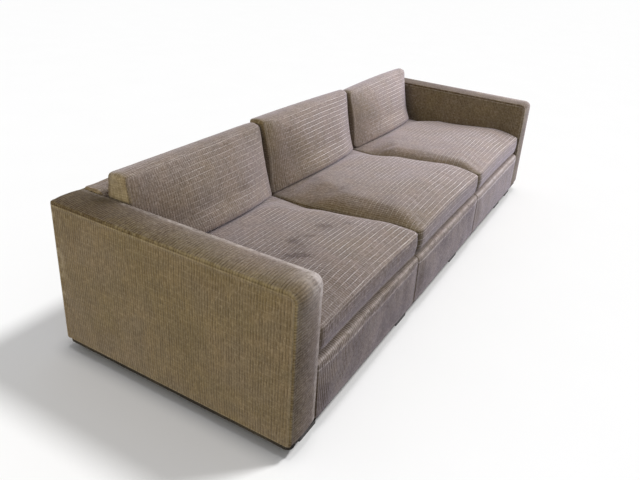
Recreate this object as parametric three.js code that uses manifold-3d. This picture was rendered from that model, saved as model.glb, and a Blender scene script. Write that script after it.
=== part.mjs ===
// A long, low three-seat sofa with square arms, three loose seat cushions and three loose back cushions.
// Millimetres. +X runs along the length, the front faces -Y and +Z is up.
// The origin is on the floor, under the middle of the sofa.

import * as THREE from "three";
import { mergeVertices } from "three/addons/utils/BufferGeometryUtils.js";
import Module from "manifold-3d";

const wasm = await Module();
wasm.setup();

// Overall size
const LENGTH = 2280;
const DEPTH = 840;
const ARM_TOP = 510;
const ARM_WIDTH = 115;
const BACK_THICKNESS = 85;
const FLOOR_CLEARANCE = 40;
const GAP = 0.3; // between pieces that touch

// Covers and padding
const COVER = 4; // cover cloth with its wadding
const SIDE_PADDING = 14;
const TOP_PADDING = 24;
const CORNER_RADIUS = 30; // front top corner of an arm, and top front corner of the back
const TOE_RADIUS = 18; // front bottom corner of an arm
const CORNER_STEPS = 5;
const INNER_PANEL_BOTTOM = 210; // where the inner covers are tacked to the seat frame
const RAIL_PANEL_TOP = 236;
const RAIL_PANEL_BEVEL = 6;

// Wooden frame
const DUST_COVER = 2;
const BOARD = 28;
const RAIL_BOTTOM = FLOOR_CLEARANCE + DUST_COVER + 2 * GAP;
const RAIL_TOP = 200;
const CROSS_RAIL_TOP = 150;
const POST_DEPTH = 45;
const BACK_POST_WIDTH = 45;

// Springs
const SPRINGS_PER_SEAT = 3;
const SPRING_SPACING = 190;
const WIRE_RADIUS = 2;
const WIRE_SIDES = 5;
const SPRING_HALF_WIDTH = 26;
const SPRING_WAVES = 7;
const STEPS_PER_WAVE = 8;
const SPRING_RISE = 14;
const SPRING_INSET = 10; // from the outer face of the rail to the end of the wire

// Seat deck
const DECK_BOTTOM = RAIL_TOP + 20;
const DECK_TOP = 236;
const DECK_LIP = 7;

// Cushions
const SEATS = 3;
const CUSHION_GAP = 3;
const SEAT_FRONT = -410;
const PRESSED_FROM = 145; // the back cushions press the seat flat behind this line
const SEAT_FRONT_EDGE_TOP = 335;
const SEAT_PRESSED_TOP = 305;
const SEAT_CROWN = 36;
const CASE_WALL = 4;
const ZIP_OPENING_WIDTH = 520;
const ZIP_OPENING_HEIGHT = 3;
const BACK_CUSHION_BASE_FRONT = 205;
const BACK_CUSHION_TOP_FRONT = 252;
const BACK_CUSHION_EDGE_TOP = 572;
const BACK_CUSHION_TOP_CROWN = 24;
const BACK_CUSHION_EDGE_DROP = 12;
const BACK_CUSHION_FRONT_CROWN = 52;
const BACK_CUSHION_SHIFTS = [0, -9, 0]; // the middle one has slid forward

// Feet
const FOOT_WIDTH = 82;
const FOOT_DEPTH = 75;
const FOOT_EDGE = 3;
const FOOT_FRONT_FACE = -404;
const FRONT_FEET_X = [-1030, -405, 145, 830, 1030];
const REAR_FEET_X = [-1030, -405, 405, 1030];

// Planes worked out from the sizes above
const FRONT = -DEPTH / 2;
const REAR = DEPTH / 2;
const HALF_LENGTH = LENGTH / 2;
const ARM_INNER = HALF_LENGTH - ARM_WIDTH;
const BACK_INNER = REAR - BACK_THICKNESS;
const BENEATH_COVER = COVER + GAP; // from an outer surface to the padding under it
const ARM_CORE = BENEATH_COVER + SIDE_PADDING + GAP; // from a side of an arm to the wood inside it
const FRAME_INNER = ARM_INNER + ARM_CORE; // inner face of the posts
const FRAME_OUTER = HALF_LENGTH - ARM_CORE;
const PADDED_TOP = ARM_TOP - BENEATH_COVER - TOP_PADDING; // underside of the top padding
const TOP_RAIL_TOP = PADDED_TOP - GAP;
const TOP_RAIL_BOTTOM = TOP_RAIL_TOP - BOARD;
const FRAME_FRONT = FRONT + ARM_CORE;
const FRAME_REAR = REAR - BENEATH_COVER;
const BACK_FRAME_FRONT = BACK_INNER + ARM_CORE;
const BAY_WIDTH = (2 * ARM_INNER) / SEATS;

const sofa = new THREE.Group();

// Materials

function coverCloth() {
  return new THREE.MeshStandardMaterial({ color: 0x837866, roughness: 0.95, metalness: 0 });
}

function liningCloth() {
  return new THREE.MeshStandardMaterial({ color: 0x2f2b29, roughness: 1, metalness: 0 });
}

function foam() {
  return new THREE.MeshStandardMaterial({ color: 0xd8cfa8, roughness: 1, metalness: 0 });
}

function frameWood() {
  return new THREE.MeshStandardMaterial({ color: 0xb08d5c, roughness: 0.8, metalness: 0 });
}

function springSteel() {
  return new THREE.MeshStandardMaterial({ color: 0x74767a, roughness: 0.45, metalness: 1 });
}

function footPlastic() {
  return new THREE.MeshStandardMaterial({ color: 0x151413, roughness: 0.6, metalness: 0 });
}

// Helpers

function add(name, geometry, material) {
  const mesh = new THREE.Mesh(geometry, material);
  mesh.name = name;
  sofa.add(mesh);
  return mesh;
}

function box(low, high) {
  const geometry = new THREE.BoxGeometry(high[0] - low[0], high[1] - low[1], high[2] - low[2]);
  return geometry.translate((low[0] + high[0]) / 2, (low[1] + high[1]) / 2, (low[2] + high[2]) / 2);
}

// The same box on the left (side -1) or on the right (side 1), given by its distances from the middle.
function sideBox(side, inner, outer, low, high) {
  const ends = [side * inner, side * outer].sort((a, b) => a - b);
  return box([ends[0], ...low], [ends[1], ...high]);
}

// A shape drawn in Y and Z, made solid between two distances along X.
function extrudeAlongX(shape, from, to) {
  const start = Math.min(from, to);
  const length = Math.abs(to - from);
  const settings = { depth: length, bevelEnabled: false, curveSegments: CORNER_STEPS };
  const geometry = new THREE.ExtrudeGeometry(shape, settings);
  const axes = new THREE.Matrix4().makeBasis(
    new THREE.Vector3(0, 1, 0),
    new THREE.Vector3(0, 0, 1),
    new THREE.Vector3(1, 0, 0),
  );
  return geometry.applyMatrix4(axes).translate(start, 0, 0);
}

function polygon(points) {
  return new THREE.Shape(points.map(([a, b]) => new THREE.Vector2(a, b)));
}

function toSolid(geometry) {
  const bare = geometry.clone();
  bare.deleteAttribute("normal");
  bare.deleteAttribute("uv");
  const merged = mergeVertices(bare, 1e-3);
  const mesh = new wasm.Mesh({
    numProp: 3,
    vertProperties: merged.getAttribute("position").array,
    triVerts: new Uint32Array(merged.index.array),
  });
  return new wasm.Manifold(mesh);
}

function toGeometry(solid) {
  const mesh = solid.getMesh();
  const geometry = new THREE.BufferGeometry();
  geometry.setAttribute("position", new THREE.BufferAttribute(mesh.vertProperties, 3));
  geometry.setIndex(new THREE.BufferAttribute(mesh.triVerts, 1));
  geometry.computeVertexNormals();
  return geometry;
}

function cut(base, cutters) {
  let solid = toSolid(base);
  for (const cutter of cutters) {
    solid = solid.subtract(toSolid(cutter));
  }
  return toGeometry(solid);
}

// Arm outline seen from the side: square at the rear, rounded at the front top and front bottom corners.
// inset moves every edge but the rear one inwards.
function armOutline(inset, rear) {
  const front = FRONT + inset;
  const top = ARM_TOP - inset;
  const bottom = FLOOR_CLEARANCE + inset;
  const topRadius = CORNER_RADIUS - inset;
  const toeRadius = TOE_RADIUS - inset;
  const shape = new THREE.Shape();
  shape.moveTo(rear, bottom);
  shape.lineTo(rear, top);
  shape.lineTo(front + topRadius, top);
  shape.absarc(front + topRadius, top - topRadius, topRadius, Math.PI / 2, Math.PI, false);
  shape.lineTo(front, bottom + toeRadius);
  shape.absarc(front + toeRadius, bottom + toeRadius, toeRadius, Math.PI, 1.5 * Math.PI, false);
  shape.closePath();
  return shape;
}

// The strip of cover that runs over the top of an arm and down its front, ending under the toe.
function armBandOutline() {
  const rear = REAR - BENEATH_COVER;
  const innerTop = CORNER_RADIUS - COVER;
  const innerToe = TOE_RADIUS - COVER;
  const topCentre = [FRONT + CORNER_RADIUS, ARM_TOP - CORNER_RADIUS];
  const toeCentre = [FRONT + TOE_RADIUS, FLOOR_CLEARANCE + TOE_RADIUS];
  const shape = new THREE.Shape();
  shape.moveTo(rear, ARM_TOP - COVER);
  shape.lineTo(rear, ARM_TOP);
  shape.lineTo(topCentre[0], ARM_TOP);
  shape.absarc(...topCentre, CORNER_RADIUS, Math.PI / 2, Math.PI, false);
  shape.lineTo(FRONT, toeCentre[1]);
  shape.absarc(...toeCentre, TOE_RADIUS, Math.PI, 1.5 * Math.PI, false);
  shape.lineTo(toeCentre[0], FLOOR_CLEARANCE + COVER);
  shape.absarc(...toeCentre, innerToe, 1.5 * Math.PI, Math.PI, true);
  shape.lineTo(FRONT + COVER, topCentre[1]);
  shape.absarc(...topCentre, innerTop, Math.PI, Math.PI / 2, true);
  shape.closePath();
  return shape;
}

// Inner side of an arm: full height at the front edge, and above the seat frame behind it.
function armInnerOutline() {
  const stripRear = FRONT + BENEATH_COVER + SIDE_PADDING;
  const rear = BACK_INNER - GAP;
  const top = ARM_TOP;
  const shape = new THREE.Shape();
  shape.moveTo(stripRear, FLOOR_CLEARANCE);
  shape.lineTo(stripRear, INNER_PANEL_BOTTOM);
  shape.lineTo(rear, INNER_PANEL_BOTTOM);
  shape.lineTo(rear, top);
  shape.lineTo(FRONT + CORNER_RADIUS, top);
  shape.absarc(FRONT + CORNER_RADIUS, top - CORNER_RADIUS, CORNER_RADIUS, Math.PI / 2, Math.PI, false);
  shape.lineTo(FRONT, FLOOR_CLEARANCE);
  shape.closePath();
  return shape;
}

// Wooden frame

function buildArmFrame(name, side) {
  const inner = FRAME_INNER;
  const outer = FRAME_OUTER;
  const frontPost = [[FRAME_FRONT, RAIL_BOTTOM], [FRAME_FRONT + POST_DEPTH, TOP_RAIL_BOTTOM - GAP]];
  const rearPost = [[FRAME_REAR - POST_DEPTH, RAIL_BOTTOM], [FRAME_REAR, TOP_RAIL_BOTTOM - GAP]];
  const armRail = [[FRAME_FRONT, TOP_RAIL_BOTTOM], [FRAME_REAR, TOP_RAIL_TOP]];
  const sideRail = [
    [FRAME_FRONT + POST_DEPTH + GAP, RAIL_BOTTOM],
    [FRAME_REAR - POST_DEPTH - GAP, RAIL_TOP],
  ];
  add(name + "_front_post", sideBox(side, inner, outer, ...frontPost), frameWood());
  add(name + "_rear_post", sideBox(side, inner, outer, ...rearPost), frameWood());
  add(name + "_arm_rail", sideBox(side, inner, outer, ...armRail), frameWood());
  add(name + "_side_rail", sideBox(side, inner, inner + BOARD, ...sideRail), frameWood());
}

function buildLongRails() {
  const reach = FRAME_INNER - GAP;
  const railFront = [-reach, FRAME_FRONT, RAIL_BOTTOM];
  const railRear = [-reach, FRAME_REAR - BOARD, RAIL_BOTTOM];
  const topRail = [-reach, BACK_FRAME_FRONT, TOP_RAIL_BOTTOM];
  add("front_rail", box(railFront, [reach, FRAME_FRONT + BOARD, RAIL_TOP]), frameWood());
  add("rear_rail", box(railRear, [reach, FRAME_REAR, RAIL_TOP]), frameWood());
  add("back_top_rail", box(topRail, [reach, FRAME_REAR, TOP_RAIL_TOP]), frameWood());
}

// A cross rail under the springs and a post in the back, at each division between two seats.
function buildDivision(number) {
  const x = -ARM_INNER + number * BAY_WIDTH;
  const railLow = [x - BOARD / 2, FRAME_FRONT + BOARD + GAP, RAIL_BOTTOM];
  const railHigh = [x + BOARD / 2, FRAME_REAR - BOARD - GAP, CROSS_RAIL_TOP];
  const postLow = [x - BACK_POST_WIDTH / 2, BACK_FRAME_FRONT, RAIL_TOP + GAP];
  const postHigh = [x + BACK_POST_WIDTH / 2, FRAME_REAR, TOP_RAIL_BOTTOM - GAP];
  add("cross_rail_" + number, box(railLow, railHigh), frameWood());
  add("back_post_" + number, box(postLow, postHigh), frameWood());
}

// Springs

// Centre line of a zigzag spring wire, from the front rail to the rear rail, arched a little upwards.
class SpringLine extends THREE.Curve {
  constructor(x) {
    super();
    this.x = x;
    this.start = FRAME_FRONT + SPRING_INSET;
    this.end = FRAME_REAR - SPRING_INSET;
  }

  getPoint(t, target = new THREE.Vector3()) {
    const sway = SPRING_HALF_WIDTH * Math.sin(2 * Math.PI * SPRING_WAVES * t);
    const lift = SPRING_RISE * Math.sin(Math.PI * t);
    const y = this.start + (this.end - this.start) * t;
    return target.set(this.x + sway, y, RAIL_TOP + WIRE_RADIUS + GAP + lift);
  }
}

function wireSection() {
  const turn = (2 * Math.PI) / WIRE_SIDES;
  const corners = Array.from({ length: WIRE_SIDES }, (_, i) => [
    WIRE_RADIUS * Math.cos(i * turn),
    WIRE_RADIUS * Math.sin(i * turn),
  ]);
  return polygon(corners);
}

function buildSprings(bay) {
  const middle = -ARM_INNER + (bay + 0.5) * BAY_WIDTH;
  for (let i = 0; i < SPRINGS_PER_SEAT; i += 1) {
    const x = middle + (i - (SPRINGS_PER_SEAT - 1) / 2) * SPRING_SPACING;
    const number = bay * SPRINGS_PER_SEAT + i + 1;
    const settings = { steps: SPRING_WAVES * STEPS_PER_WAVE, extrudePath: new SpringLine(x) };
    add("seat_spring_" + number, new THREE.ExtrudeGeometry(wireSection(), settings), springSteel());
  }
}

// Upholstery on the frame

// Cloth and felt pad over the springs, with a lip that comes down to the front rail.
function buildSeatDeck() {
  const front = FRAME_FRONT;
  const rear = BACK_INNER - GAP;
  const profile = polygon([
    [front, RAIL_TOP + GAP],
    [front + DECK_LIP, RAIL_TOP + GAP],
    [front + DECK_LIP, DECK_BOTTOM],
    [rear, DECK_BOTTOM],
    [rear, DECK_TOP],
    [front, DECK_TOP],
  ]);
  add("seat_deck", extrudeAlongX(profile, -ARM_INNER + GAP, ARM_INNER - GAP), liningCloth());
}

function buildDustCover() {
  const reach = FRAME_OUTER;
  const bottom = FLOOR_CLEARANCE + GAP;
  const low = [-reach, FRAME_FRONT + BENEATH_COVER, bottom];
  const high = [reach, FRAME_REAR - BENEATH_COVER, bottom + DUST_COVER];
  add("dust_cover", box(low, high), liningCloth());
}

// Foam wrapped over the outer side, the front, the top and the inner side of an arm.
function buildArmPadding(name, side) {
  const rear = FRAME_REAR;
  const inner = ARM_INNER + BENEATH_COVER;
  const outer = HALF_LENGTH - BENEATH_COVER;
  const block = extrudeAlongX(armOutline(BENEATH_COVER, rear), side * inner, side * outer);
  const below = FLOOR_CLEARANCE - COVER;
  const hollowFront = FRAME_FRONT - GAP;
  const beyondRear = REAR + COVER;
  const cutters = [
    sideBox(side, inner + SIDE_PADDING, outer - SIDE_PADDING, [hollowFront, below], [beyondRear, PADDED_TOP]),
    sideBox(side, inner - COVER, inner + 2 * SIDE_PADDING, [hollowFront, below], [beyondRear, INNER_PANEL_BOTTOM]),
    sideBox(side, inner - COVER, inner + 2 * SIDE_PADDING, [BACK_INNER - GAP, below], [beyondRear, PADDED_TOP]),
  ];
  add(name + "_arm_padding", cut(block, cutters), foam());
}

function buildArmCover(name, side) {
  const outerPanel = extrudeAlongX(
    armOutline(0, FRAME_REAR),
    side * (HALF_LENGTH - COVER),
    side * HALF_LENGTH,
  );
  const innerPanel = extrudeAlongX(armInnerOutline(), side * ARM_INNER, side * (ARM_INNER + COVER));
  const band = extrudeAlongX(
    armBandOutline(),
    side * (ARM_INNER + BENEATH_COVER),
    side * (HALF_LENGTH - BENEATH_COVER),
  );
  add(name + "_arm_outer_panel", outerPanel, coverCloth());
  add(name + "_arm_inner_panel", innerPanel, coverCloth());
  add(name + "_arm_band", band, coverCloth());
}

// Section of a layer that comes up the inside of the back and over its top, with a rounded corner.
function backLayerOutline(inset, faceThickness, topThickness) {
  const front = BACK_INNER + inset;
  const top = ARM_TOP - inset;
  const rear = FRAME_REAR;
  const radius = CORNER_RADIUS - inset;
  const innerRadius = Math.max(radius - faceThickness, 0);
  const corner = [front + radius, top - radius];
  const shape = new THREE.Shape();
  shape.moveTo(front, INNER_PANEL_BOTTOM);
  shape.lineTo(front + faceThickness, INNER_PANEL_BOTTOM);
  if (faceThickness === topThickness) {
    shape.lineTo(front + faceThickness, corner[1]);
    shape.absarc(...corner, innerRadius, Math.PI, Math.PI / 2, true);
  } else {
    shape.lineTo(front + faceThickness, top - topThickness);
  }
  shape.lineTo(rear, top - topThickness);
  shape.lineTo(rear, top);
  shape.lineTo(corner[0], top);
  shape.absarc(...corner, radius, Math.PI / 2, Math.PI, false);
  shape.closePath();
  return shape;
}

function buildBack() {
  const reach = ARM_INNER - GAP;
  const cover = backLayerOutline(0, COVER, COVER);
  const padding = backLayerOutline(BENEATH_COVER, SIDE_PADDING, TOP_PADDING);
  add("back_padding", extrudeAlongX(padding, -reach, reach), foam());
  add("back_inner_cover", extrudeAlongX(cover, -reach, reach), coverCloth());
  const low = [-HALF_LENGTH, REAR - COVER, FLOOR_CLEARANCE];
  add("back_outer_panel", box(low, [HALF_LENGTH, REAR, ARM_TOP]), coverCloth());
}

// Padded cloth panel on the front rail, one under each seat.
function buildRailPanel(bay) {
  const left = -ARM_INNER + bay * BAY_WIDTH + GAP + RAIL_PANEL_BEVEL;
  const right = left + BAY_WIDTH - 2 * (GAP + RAIL_PANEL_BEVEL);
  const bottom = FLOOR_CLEARANCE + RAIL_PANEL_BEVEL;
  const top = RAIL_PANEL_TOP - RAIL_PANEL_BEVEL;
  const thickness = ARM_CORE - 2 * GAP - 2 * RAIL_PANEL_BEVEL;
  const settings = {
    depth: thickness,
    bevelThickness: RAIL_PANEL_BEVEL,
    bevelSize: RAIL_PANEL_BEVEL,
    bevelSegments: 2,
  };
  const outline = polygon([[left, bottom], [right, bottom], [right, top], [left, top]]);
  const panel = new THREE.ExtrudeGeometry(outline, settings);
  panel.rotateX(Math.PI / 2).translate(0, FRAME_FRONT - GAP - RAIL_PANEL_BEVEL, 0);
  add("rail_panel_" + (bay + 1), panel, coverCloth());
}

// Cushions

// Moves every vertex of a unit box, whose coordinates run from 0 to 1, to the place that shape(u, v, w) gives.
function mappedBox(segments, shape) {
  const geometry = new THREE.BoxGeometry(1, 1, 1, ...segments).translate(0.5, 0.5, 0.5);
  const position = geometry.getAttribute("position");
  for (let i = 0; i < position.count; i += 1) {
    position.setXYZ(i, ...shape(position.getX(i), position.getY(i), position.getZ(i)));
  }
  return geometry;
}

function acrossCrown(u) {
  return 1 - (2 * u - 1) ** 2;
}

// Seat cushion around x = 0: crowned in front, pressed flat where the back cushion stands on it.
function seatCushionBlock(inset) {
  const rows = { open: 6, pressed: 2 };
  const count = rows.open + rows.pressed;
  const width = BAY_WIDTH - CUSHION_GAP - 2 * inset;
  const front = SEAT_FRONT + inset;
  const rear = BACK_INNER - CUSHION_GAP - inset;
  const bottom = DECK_TOP + GAP + inset;
  return mappedBox([6, count, 1], (u, v, w) => {
    const row = v * count;
    const open = Math.min(row / rows.open, 1);
    const behind = Math.max((row - rows.open) / rows.pressed, 0);
    const y = front + (PRESSED_FROM - front) * open + (rear - PRESSED_FROM) * behind;
    const edge = THREE.MathUtils.lerp(SEAT_FRONT_EDGE_TOP, SEAT_PRESSED_TOP, open);
    const top = edge + SEAT_CROWN * acrossCrown(u) * Math.sin(Math.PI * open) - inset;
    return [(u - 0.5) * width, y, bottom + (top - bottom) * w];
  });
}

// The case is a cloth skin with a long slot at the rear, where its zip is; the foam lies inside it.
function buildSeatCushion(bay) {
  const x = -ARM_INNER + (bay + 0.5) * BAY_WIDTH;
  const rear = BACK_INNER;
  const slotMiddle = (DECK_TOP + SEAT_PRESSED_TOP) / 2;
  const slot = box(
    [-ZIP_OPENING_WIDTH / 2, rear - CUSHION_GAP - 2 * CASE_WALL, slotMiddle - ZIP_OPENING_HEIGHT / 2],
    [ZIP_OPENING_WIDTH / 2, rear + CASE_WALL, slotMiddle + ZIP_OPENING_HEIGHT / 2],
  );
  const skin = cut(seatCushionBlock(0), [seatCushionBlock(CASE_WALL), slot]);
  const core = seatCushionBlock(CASE_WALL + GAP);
  add("seat_cushion_case_" + (bay + 1), skin, coverCloth()).position.x = x;
  add("seat_cushion_foam_" + (bay + 1), core, foam()).position.x = x;
}

// Back cushion: upright at the rear, leaning at the front, crowned forwards and upwards.
function buildBackCushion(bay) {
  const x = -ARM_INNER + (bay + 0.5) * BAY_WIDTH;
  const width = BAY_WIDTH - CUSHION_GAP;
  const rear = BACK_INNER - CUSHION_GAP;
  const bottom = SEAT_PRESSED_TOP + GAP;
  const block = mappedBox([6, 2, 5], (u, v, w) => {
    const lean = THREE.MathUtils.lerp(BACK_CUSHION_BASE_FRONT, BACK_CUSHION_TOP_FRONT, w);
    const front = lean - BACK_CUSHION_FRONT_CROWN * acrossCrown(u) * (1 - w / 2);
    const drop = BACK_CUSHION_EDGE_DROP * (2 * v - 1) ** 2;
    const top = BACK_CUSHION_EDGE_TOP + BACK_CUSHION_TOP_CROWN * acrossCrown(u) + BACK_CUSHION_EDGE_DROP - drop;
    return [(u - 0.5) * width, front + (rear - front) * v, bottom + (top - bottom) * w];
  });
  const cushion = add("back_cushion_" + (bay + 1), block, coverCloth());
  cushion.position.set(x, BACK_CUSHION_SHIFTS[bay], 0);
}

// Feet

function buildFoot(name, x, y) {
  const half = [FOOT_WIDTH / 2 - FOOT_EDGE, FOOT_DEPTH / 2 - FOOT_EDGE];
  const outline = new THREE.Shape();
  outline.absarc(half[0], half[1], FOOT_EDGE, 0, Math.PI / 2, false);
  outline.absarc(-half[0], half[1], FOOT_EDGE, Math.PI / 2, Math.PI, false);
  outline.absarc(-half[0], -half[1], FOOT_EDGE, Math.PI, 1.5 * Math.PI, false);
  outline.absarc(half[0], -half[1], FOOT_EDGE, 1.5 * Math.PI, 2 * Math.PI, false);
  const settings = { depth: FLOOR_CLEARANCE - GAP, bevelEnabled: false, curveSegments: 2 };
  add(name, new THREE.ExtrudeGeometry(outline, settings), footPlastic()).position.set(x, y, 0);
}

function buildFeet() {
  const frontY = FOOT_FRONT_FACE + FOOT_DEPTH / 2;
  FRONT_FEET_X.forEach((x, i) => buildFoot("front_foot_" + (i + 1), x, frontY));
  REAR_FEET_X.forEach((x, i) => buildFoot("rear_foot_" + (i + 1), x, -frontY));
}

// Assembly

for (const [name, side] of [["left", -1], ["right", 1]]) {
  buildArmFrame(name, side);
  buildArmPadding(name, side);
  buildArmCover(name, side);
}
buildLongRails();
for (let division = 1; division < SEATS; division += 1) {
  buildDivision(division);
}
buildSeatDeck();
buildDustCover();
buildBack();
for (let bay = 0; bay < SEATS; bay += 1) {
  buildSprings(bay);
  buildRailPanel(bay);
  buildSeatCushion(bay);
  buildBackCushion(bay);
}
buildFeet();

export default sofa;
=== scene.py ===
import math

import bmesh
import bpy
import numpy as np
from mathutils import Matrix, Vector, noise
from mathutils.kdtree import KDTree


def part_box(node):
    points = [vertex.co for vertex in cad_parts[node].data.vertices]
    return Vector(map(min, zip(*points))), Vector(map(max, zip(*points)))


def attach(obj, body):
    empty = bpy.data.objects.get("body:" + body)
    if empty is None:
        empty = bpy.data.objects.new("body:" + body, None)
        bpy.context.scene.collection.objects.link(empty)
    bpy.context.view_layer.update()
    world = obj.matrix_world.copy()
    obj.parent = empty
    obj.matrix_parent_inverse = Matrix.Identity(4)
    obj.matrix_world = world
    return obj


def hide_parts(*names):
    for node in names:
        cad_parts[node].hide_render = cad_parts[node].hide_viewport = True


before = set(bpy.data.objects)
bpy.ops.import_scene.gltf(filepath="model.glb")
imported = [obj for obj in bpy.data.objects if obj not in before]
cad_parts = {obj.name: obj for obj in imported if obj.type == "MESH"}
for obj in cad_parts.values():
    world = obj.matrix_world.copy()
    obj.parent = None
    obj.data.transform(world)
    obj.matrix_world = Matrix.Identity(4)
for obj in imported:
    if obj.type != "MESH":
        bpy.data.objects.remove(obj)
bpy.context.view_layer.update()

# A worn three-seat sofa in ribbed cloth. Metres; +X to the sofa's right as seen from the front,
# the front faces -Y, +Z is up.

# ---- Places taken from the frame ----
ARM_LOW, ARM_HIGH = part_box("left_arm_outer_panel")
BACK_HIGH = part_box("back_outer_panel")[1]
INSIDE_LOW, INSIDE_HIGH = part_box("back_inner_cover")
RAIL_LOW, RAIL_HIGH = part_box("rail_panel_1")
DECK_LOW, DECK_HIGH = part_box("seat_deck")
DUST_LOW, DUST_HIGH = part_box("dust_cover")
SEAT_LOW, SEAT_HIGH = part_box("seat_cushion_case_2")
HALF_LENGTH = BACK_HIGH[0]
FRONT = ARM_LOW[1]
REAR = BACK_HIGH[1]
TOP = ARM_HIGH[2]
HEM = ARM_LOW[2]
ARM_INNER = INSIDE_HIGH[0]
BACK_INNER = INSIDE_LOW[1]
RAIL_TOP = RAIL_HIGH[2]
DECK_TOP = DECK_HIGH[2]
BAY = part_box("rail_panel_2")[0][0] - RAIL_LOW[0]
SEATS = 3

# ---- Cloth ----
RIB_PITCH = 0.0085
LINE_PITCH = 0.0185
WELD = 2e-5             # grid corners closer than this become one
CLOTH_THICKNESS = 0.0022
LINING_THICKNESS = 0.0012
EDGE_DROP = 0.009      # how far the arm's top band comes down its sides before the seam
ARM_CORNER = 0.030     # roundings of an arm's front, at its top and at its foot
ARM_TOE = 0.018
QUARTER = math.pi / 2
# Per-point cloth values. The first carries painted highlights beside real wear, the second painted
# shade beside real dirt and stains, and the fourth is an olive tint, partly random and partly
# painted shade.
CLOTH_VALUES = ("wear", "soil", "lines", "warm", "pin", "give")


def bay_middle(bay):
    return (bay - (SEATS - 1) / 2) * BAY


# ---- Small helpers ----

def smooth(x):
    x = np.clip(x, 0.0, 1.0)
    return x * x * (3 - 2 * x)


def lerp(a, b, t):
    return a + (b - a) * t


def hill(x, width):
    """A soft hill: 1 where x is 0, and falling away over width to both sides."""
    return np.exp(-(x / width) ** 2)


def fall_away(x, power):
    """0 where x is 0, rising fast at first and reaching 1 where x is 1."""
    return 1 - (1 - np.clip(x, 0, 1)) ** power


def xyz(*parts):
    """Numbers or arrays, one per coordinate, as an array of points."""
    return np.stack(np.broadcast_arrays(*parts), -1)


def pairs(a, b):
    """Every one of a with every one of b."""
    return xyz(a[:, None], b[None, :])


def unit(vectors):
    return vectors / np.maximum(np.linalg.norm(vectors, axis=-1), 1e-9)[..., None]


def run_length(points):
    """How far along the path through them each of the points lies."""
    return np.concatenate([[0], np.cumsum(np.linalg.norm(np.diff(points, axis=0), axis=1))])


def heading(loop):
    """The way a closed loop runs at each of its points."""
    return unit(np.roll(loop, -1, axis=0) - np.roll(loop, 1, axis=0))


def left_of(headings):
    return xyz(-headings[:, 1], headings[:, 0])


def on_ellipse(centre, wide, high, angle):
    return centre[0] + wide * math.cos(angle), centre[1] + high * math.sin(angle)


def on_roll(end, radius, angle):
    """How far out and how far back a piece comes that is flat up to end and then rolls by angle."""
    return end + radius * math.sin(angle), radius * (1 - math.cos(angle))


def wander(points, scale, seed, octaves=2):
    """Smooth seeded noise, about -1 to 1, at each of the points."""
    flat = np.asarray(points, dtype=float).reshape(-1, 3)
    shift = Vector((seed * 7.31, seed * 3.17, seed * 5.73))
    values = [noise.fractal(Vector(p) * scale + shift, 0.6, 2.0, octaves) for p in flat]
    return np.array(values).reshape(np.asarray(points).shape[:-1])


def spaced(start, stops, step):
    """Places from start through each stop, evenly spaced between them, no more than step apart."""
    places = [start]
    for stop in stops:
        count = max(1, math.ceil(abs(stop - places[-1]) / step - 1e-9))
        first = places[-1]
        places += [first + (stop - first) * (i + 1) / count for i in range(count)]
    return np.array(places)


def mend(mesh, change):
    """Applies a change to the mesh by way of bmesh."""
    work = bmesh.new()
    work.from_mesh(mesh)
    change(work)
    work.to_mesh(mesh)
    work.free()
    mesh.update()


class Cloth:
    """Grid patches welded into one mesh, with cloth coordinates in metres on every corner."""

    def __init__(self):
        self.points, self.coords, self.faces, self.count = [], [], [], 0
        self.values = {name: [] for name in CLOTH_VALUES}

    def patch(self, points, coords, flip=False, **values):
        rows, cols = points.shape[:2]
        index = np.arange(rows * cols).reshape(rows, cols) + self.count
        quads = xyz(index[:-1, :-1], index[:-1, 1:], index[1:, 1:], index[1:, :-1]).reshape(-1, 4)
        self.points.append(points.reshape(-1, 3))
        self.coords.append(coords.reshape(-1, 2))
        self.faces.append(quads[:, ::-1] if flip else quads)
        for name in CLOTH_VALUES:
            given = np.broadcast_to(values.get(name, 0.0), (rows, cols))
            self.values[name].append(given.reshape(-1))
        self.count += rows * cols

    def build(self, name):
        parts = self.points, self.coords, self.faces
        points, coords, faces = (np.concatenate(part) for part in parts)
        mesh = bpy.data.meshes.new(name)
        mesh.from_pydata(points.tolist(), [], faces.tolist())
        layer = mesh.uv_layers.new(name="cloth")
        layer.data.foreach_set("uv", coords[faces.reshape(-1)].astype(np.float32).reshape(-1))
        for key, parts in self.values.items():
            attribute = mesh.attributes.new(key, "FLOAT", "POINT")
            attribute.data.foreach_set("value", np.concatenate(parts).astype(np.float32))
        mesh.polygons.foreach_set("use_smooth", np.ones(len(faces), dtype=bool))
        mend(mesh, lambda work: bmesh.ops.remove_doubles(work, verts=work.verts, dist=WELD))
        piece = bpy.data.objects.new(name, mesh)
        bpy.context.scene.collection.objects.link(piece)
        return piece


def one_patch(name, points, coords, flip=False, **values):
    cloth = Cloth()
    cloth.patch(points, coords, flip, **values)
    return cloth.build(name)


def positions(mesh):
    flat = np.empty(len(mesh.vertices) * 3, dtype=np.float32)
    mesh.vertices.foreach_get("co", flat)
    return flat.reshape(-1, 3).astype(float)


def set_positions(mesh, places):
    mesh.vertices.foreach_set("co", places.astype(np.float32).reshape(-1))
    mesh.update()


def values_of(mesh, name):
    flat = np.empty(len(mesh.vertices), dtype=np.float32)
    mesh.attributes[name].data.foreach_get("value", flat)
    return flat.astype(float)


def fix_normals(piece):
    mend(piece.data, lambda work: bmesh.ops.recalc_face_normals(work, faces=work.faces))


def thicken(piece, thickness=CLOTH_THICKNESS):
    """Gives an open cloth shell its thickness, on the inner side."""
    solid = piece.modifiers.new("thickness", "SOLIDIFY")
    solid.thickness = thickness
    solid.offset = -1
    solid.use_even_offset = False


# ---- Grids with rolled edges and rounded corners ----

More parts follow.
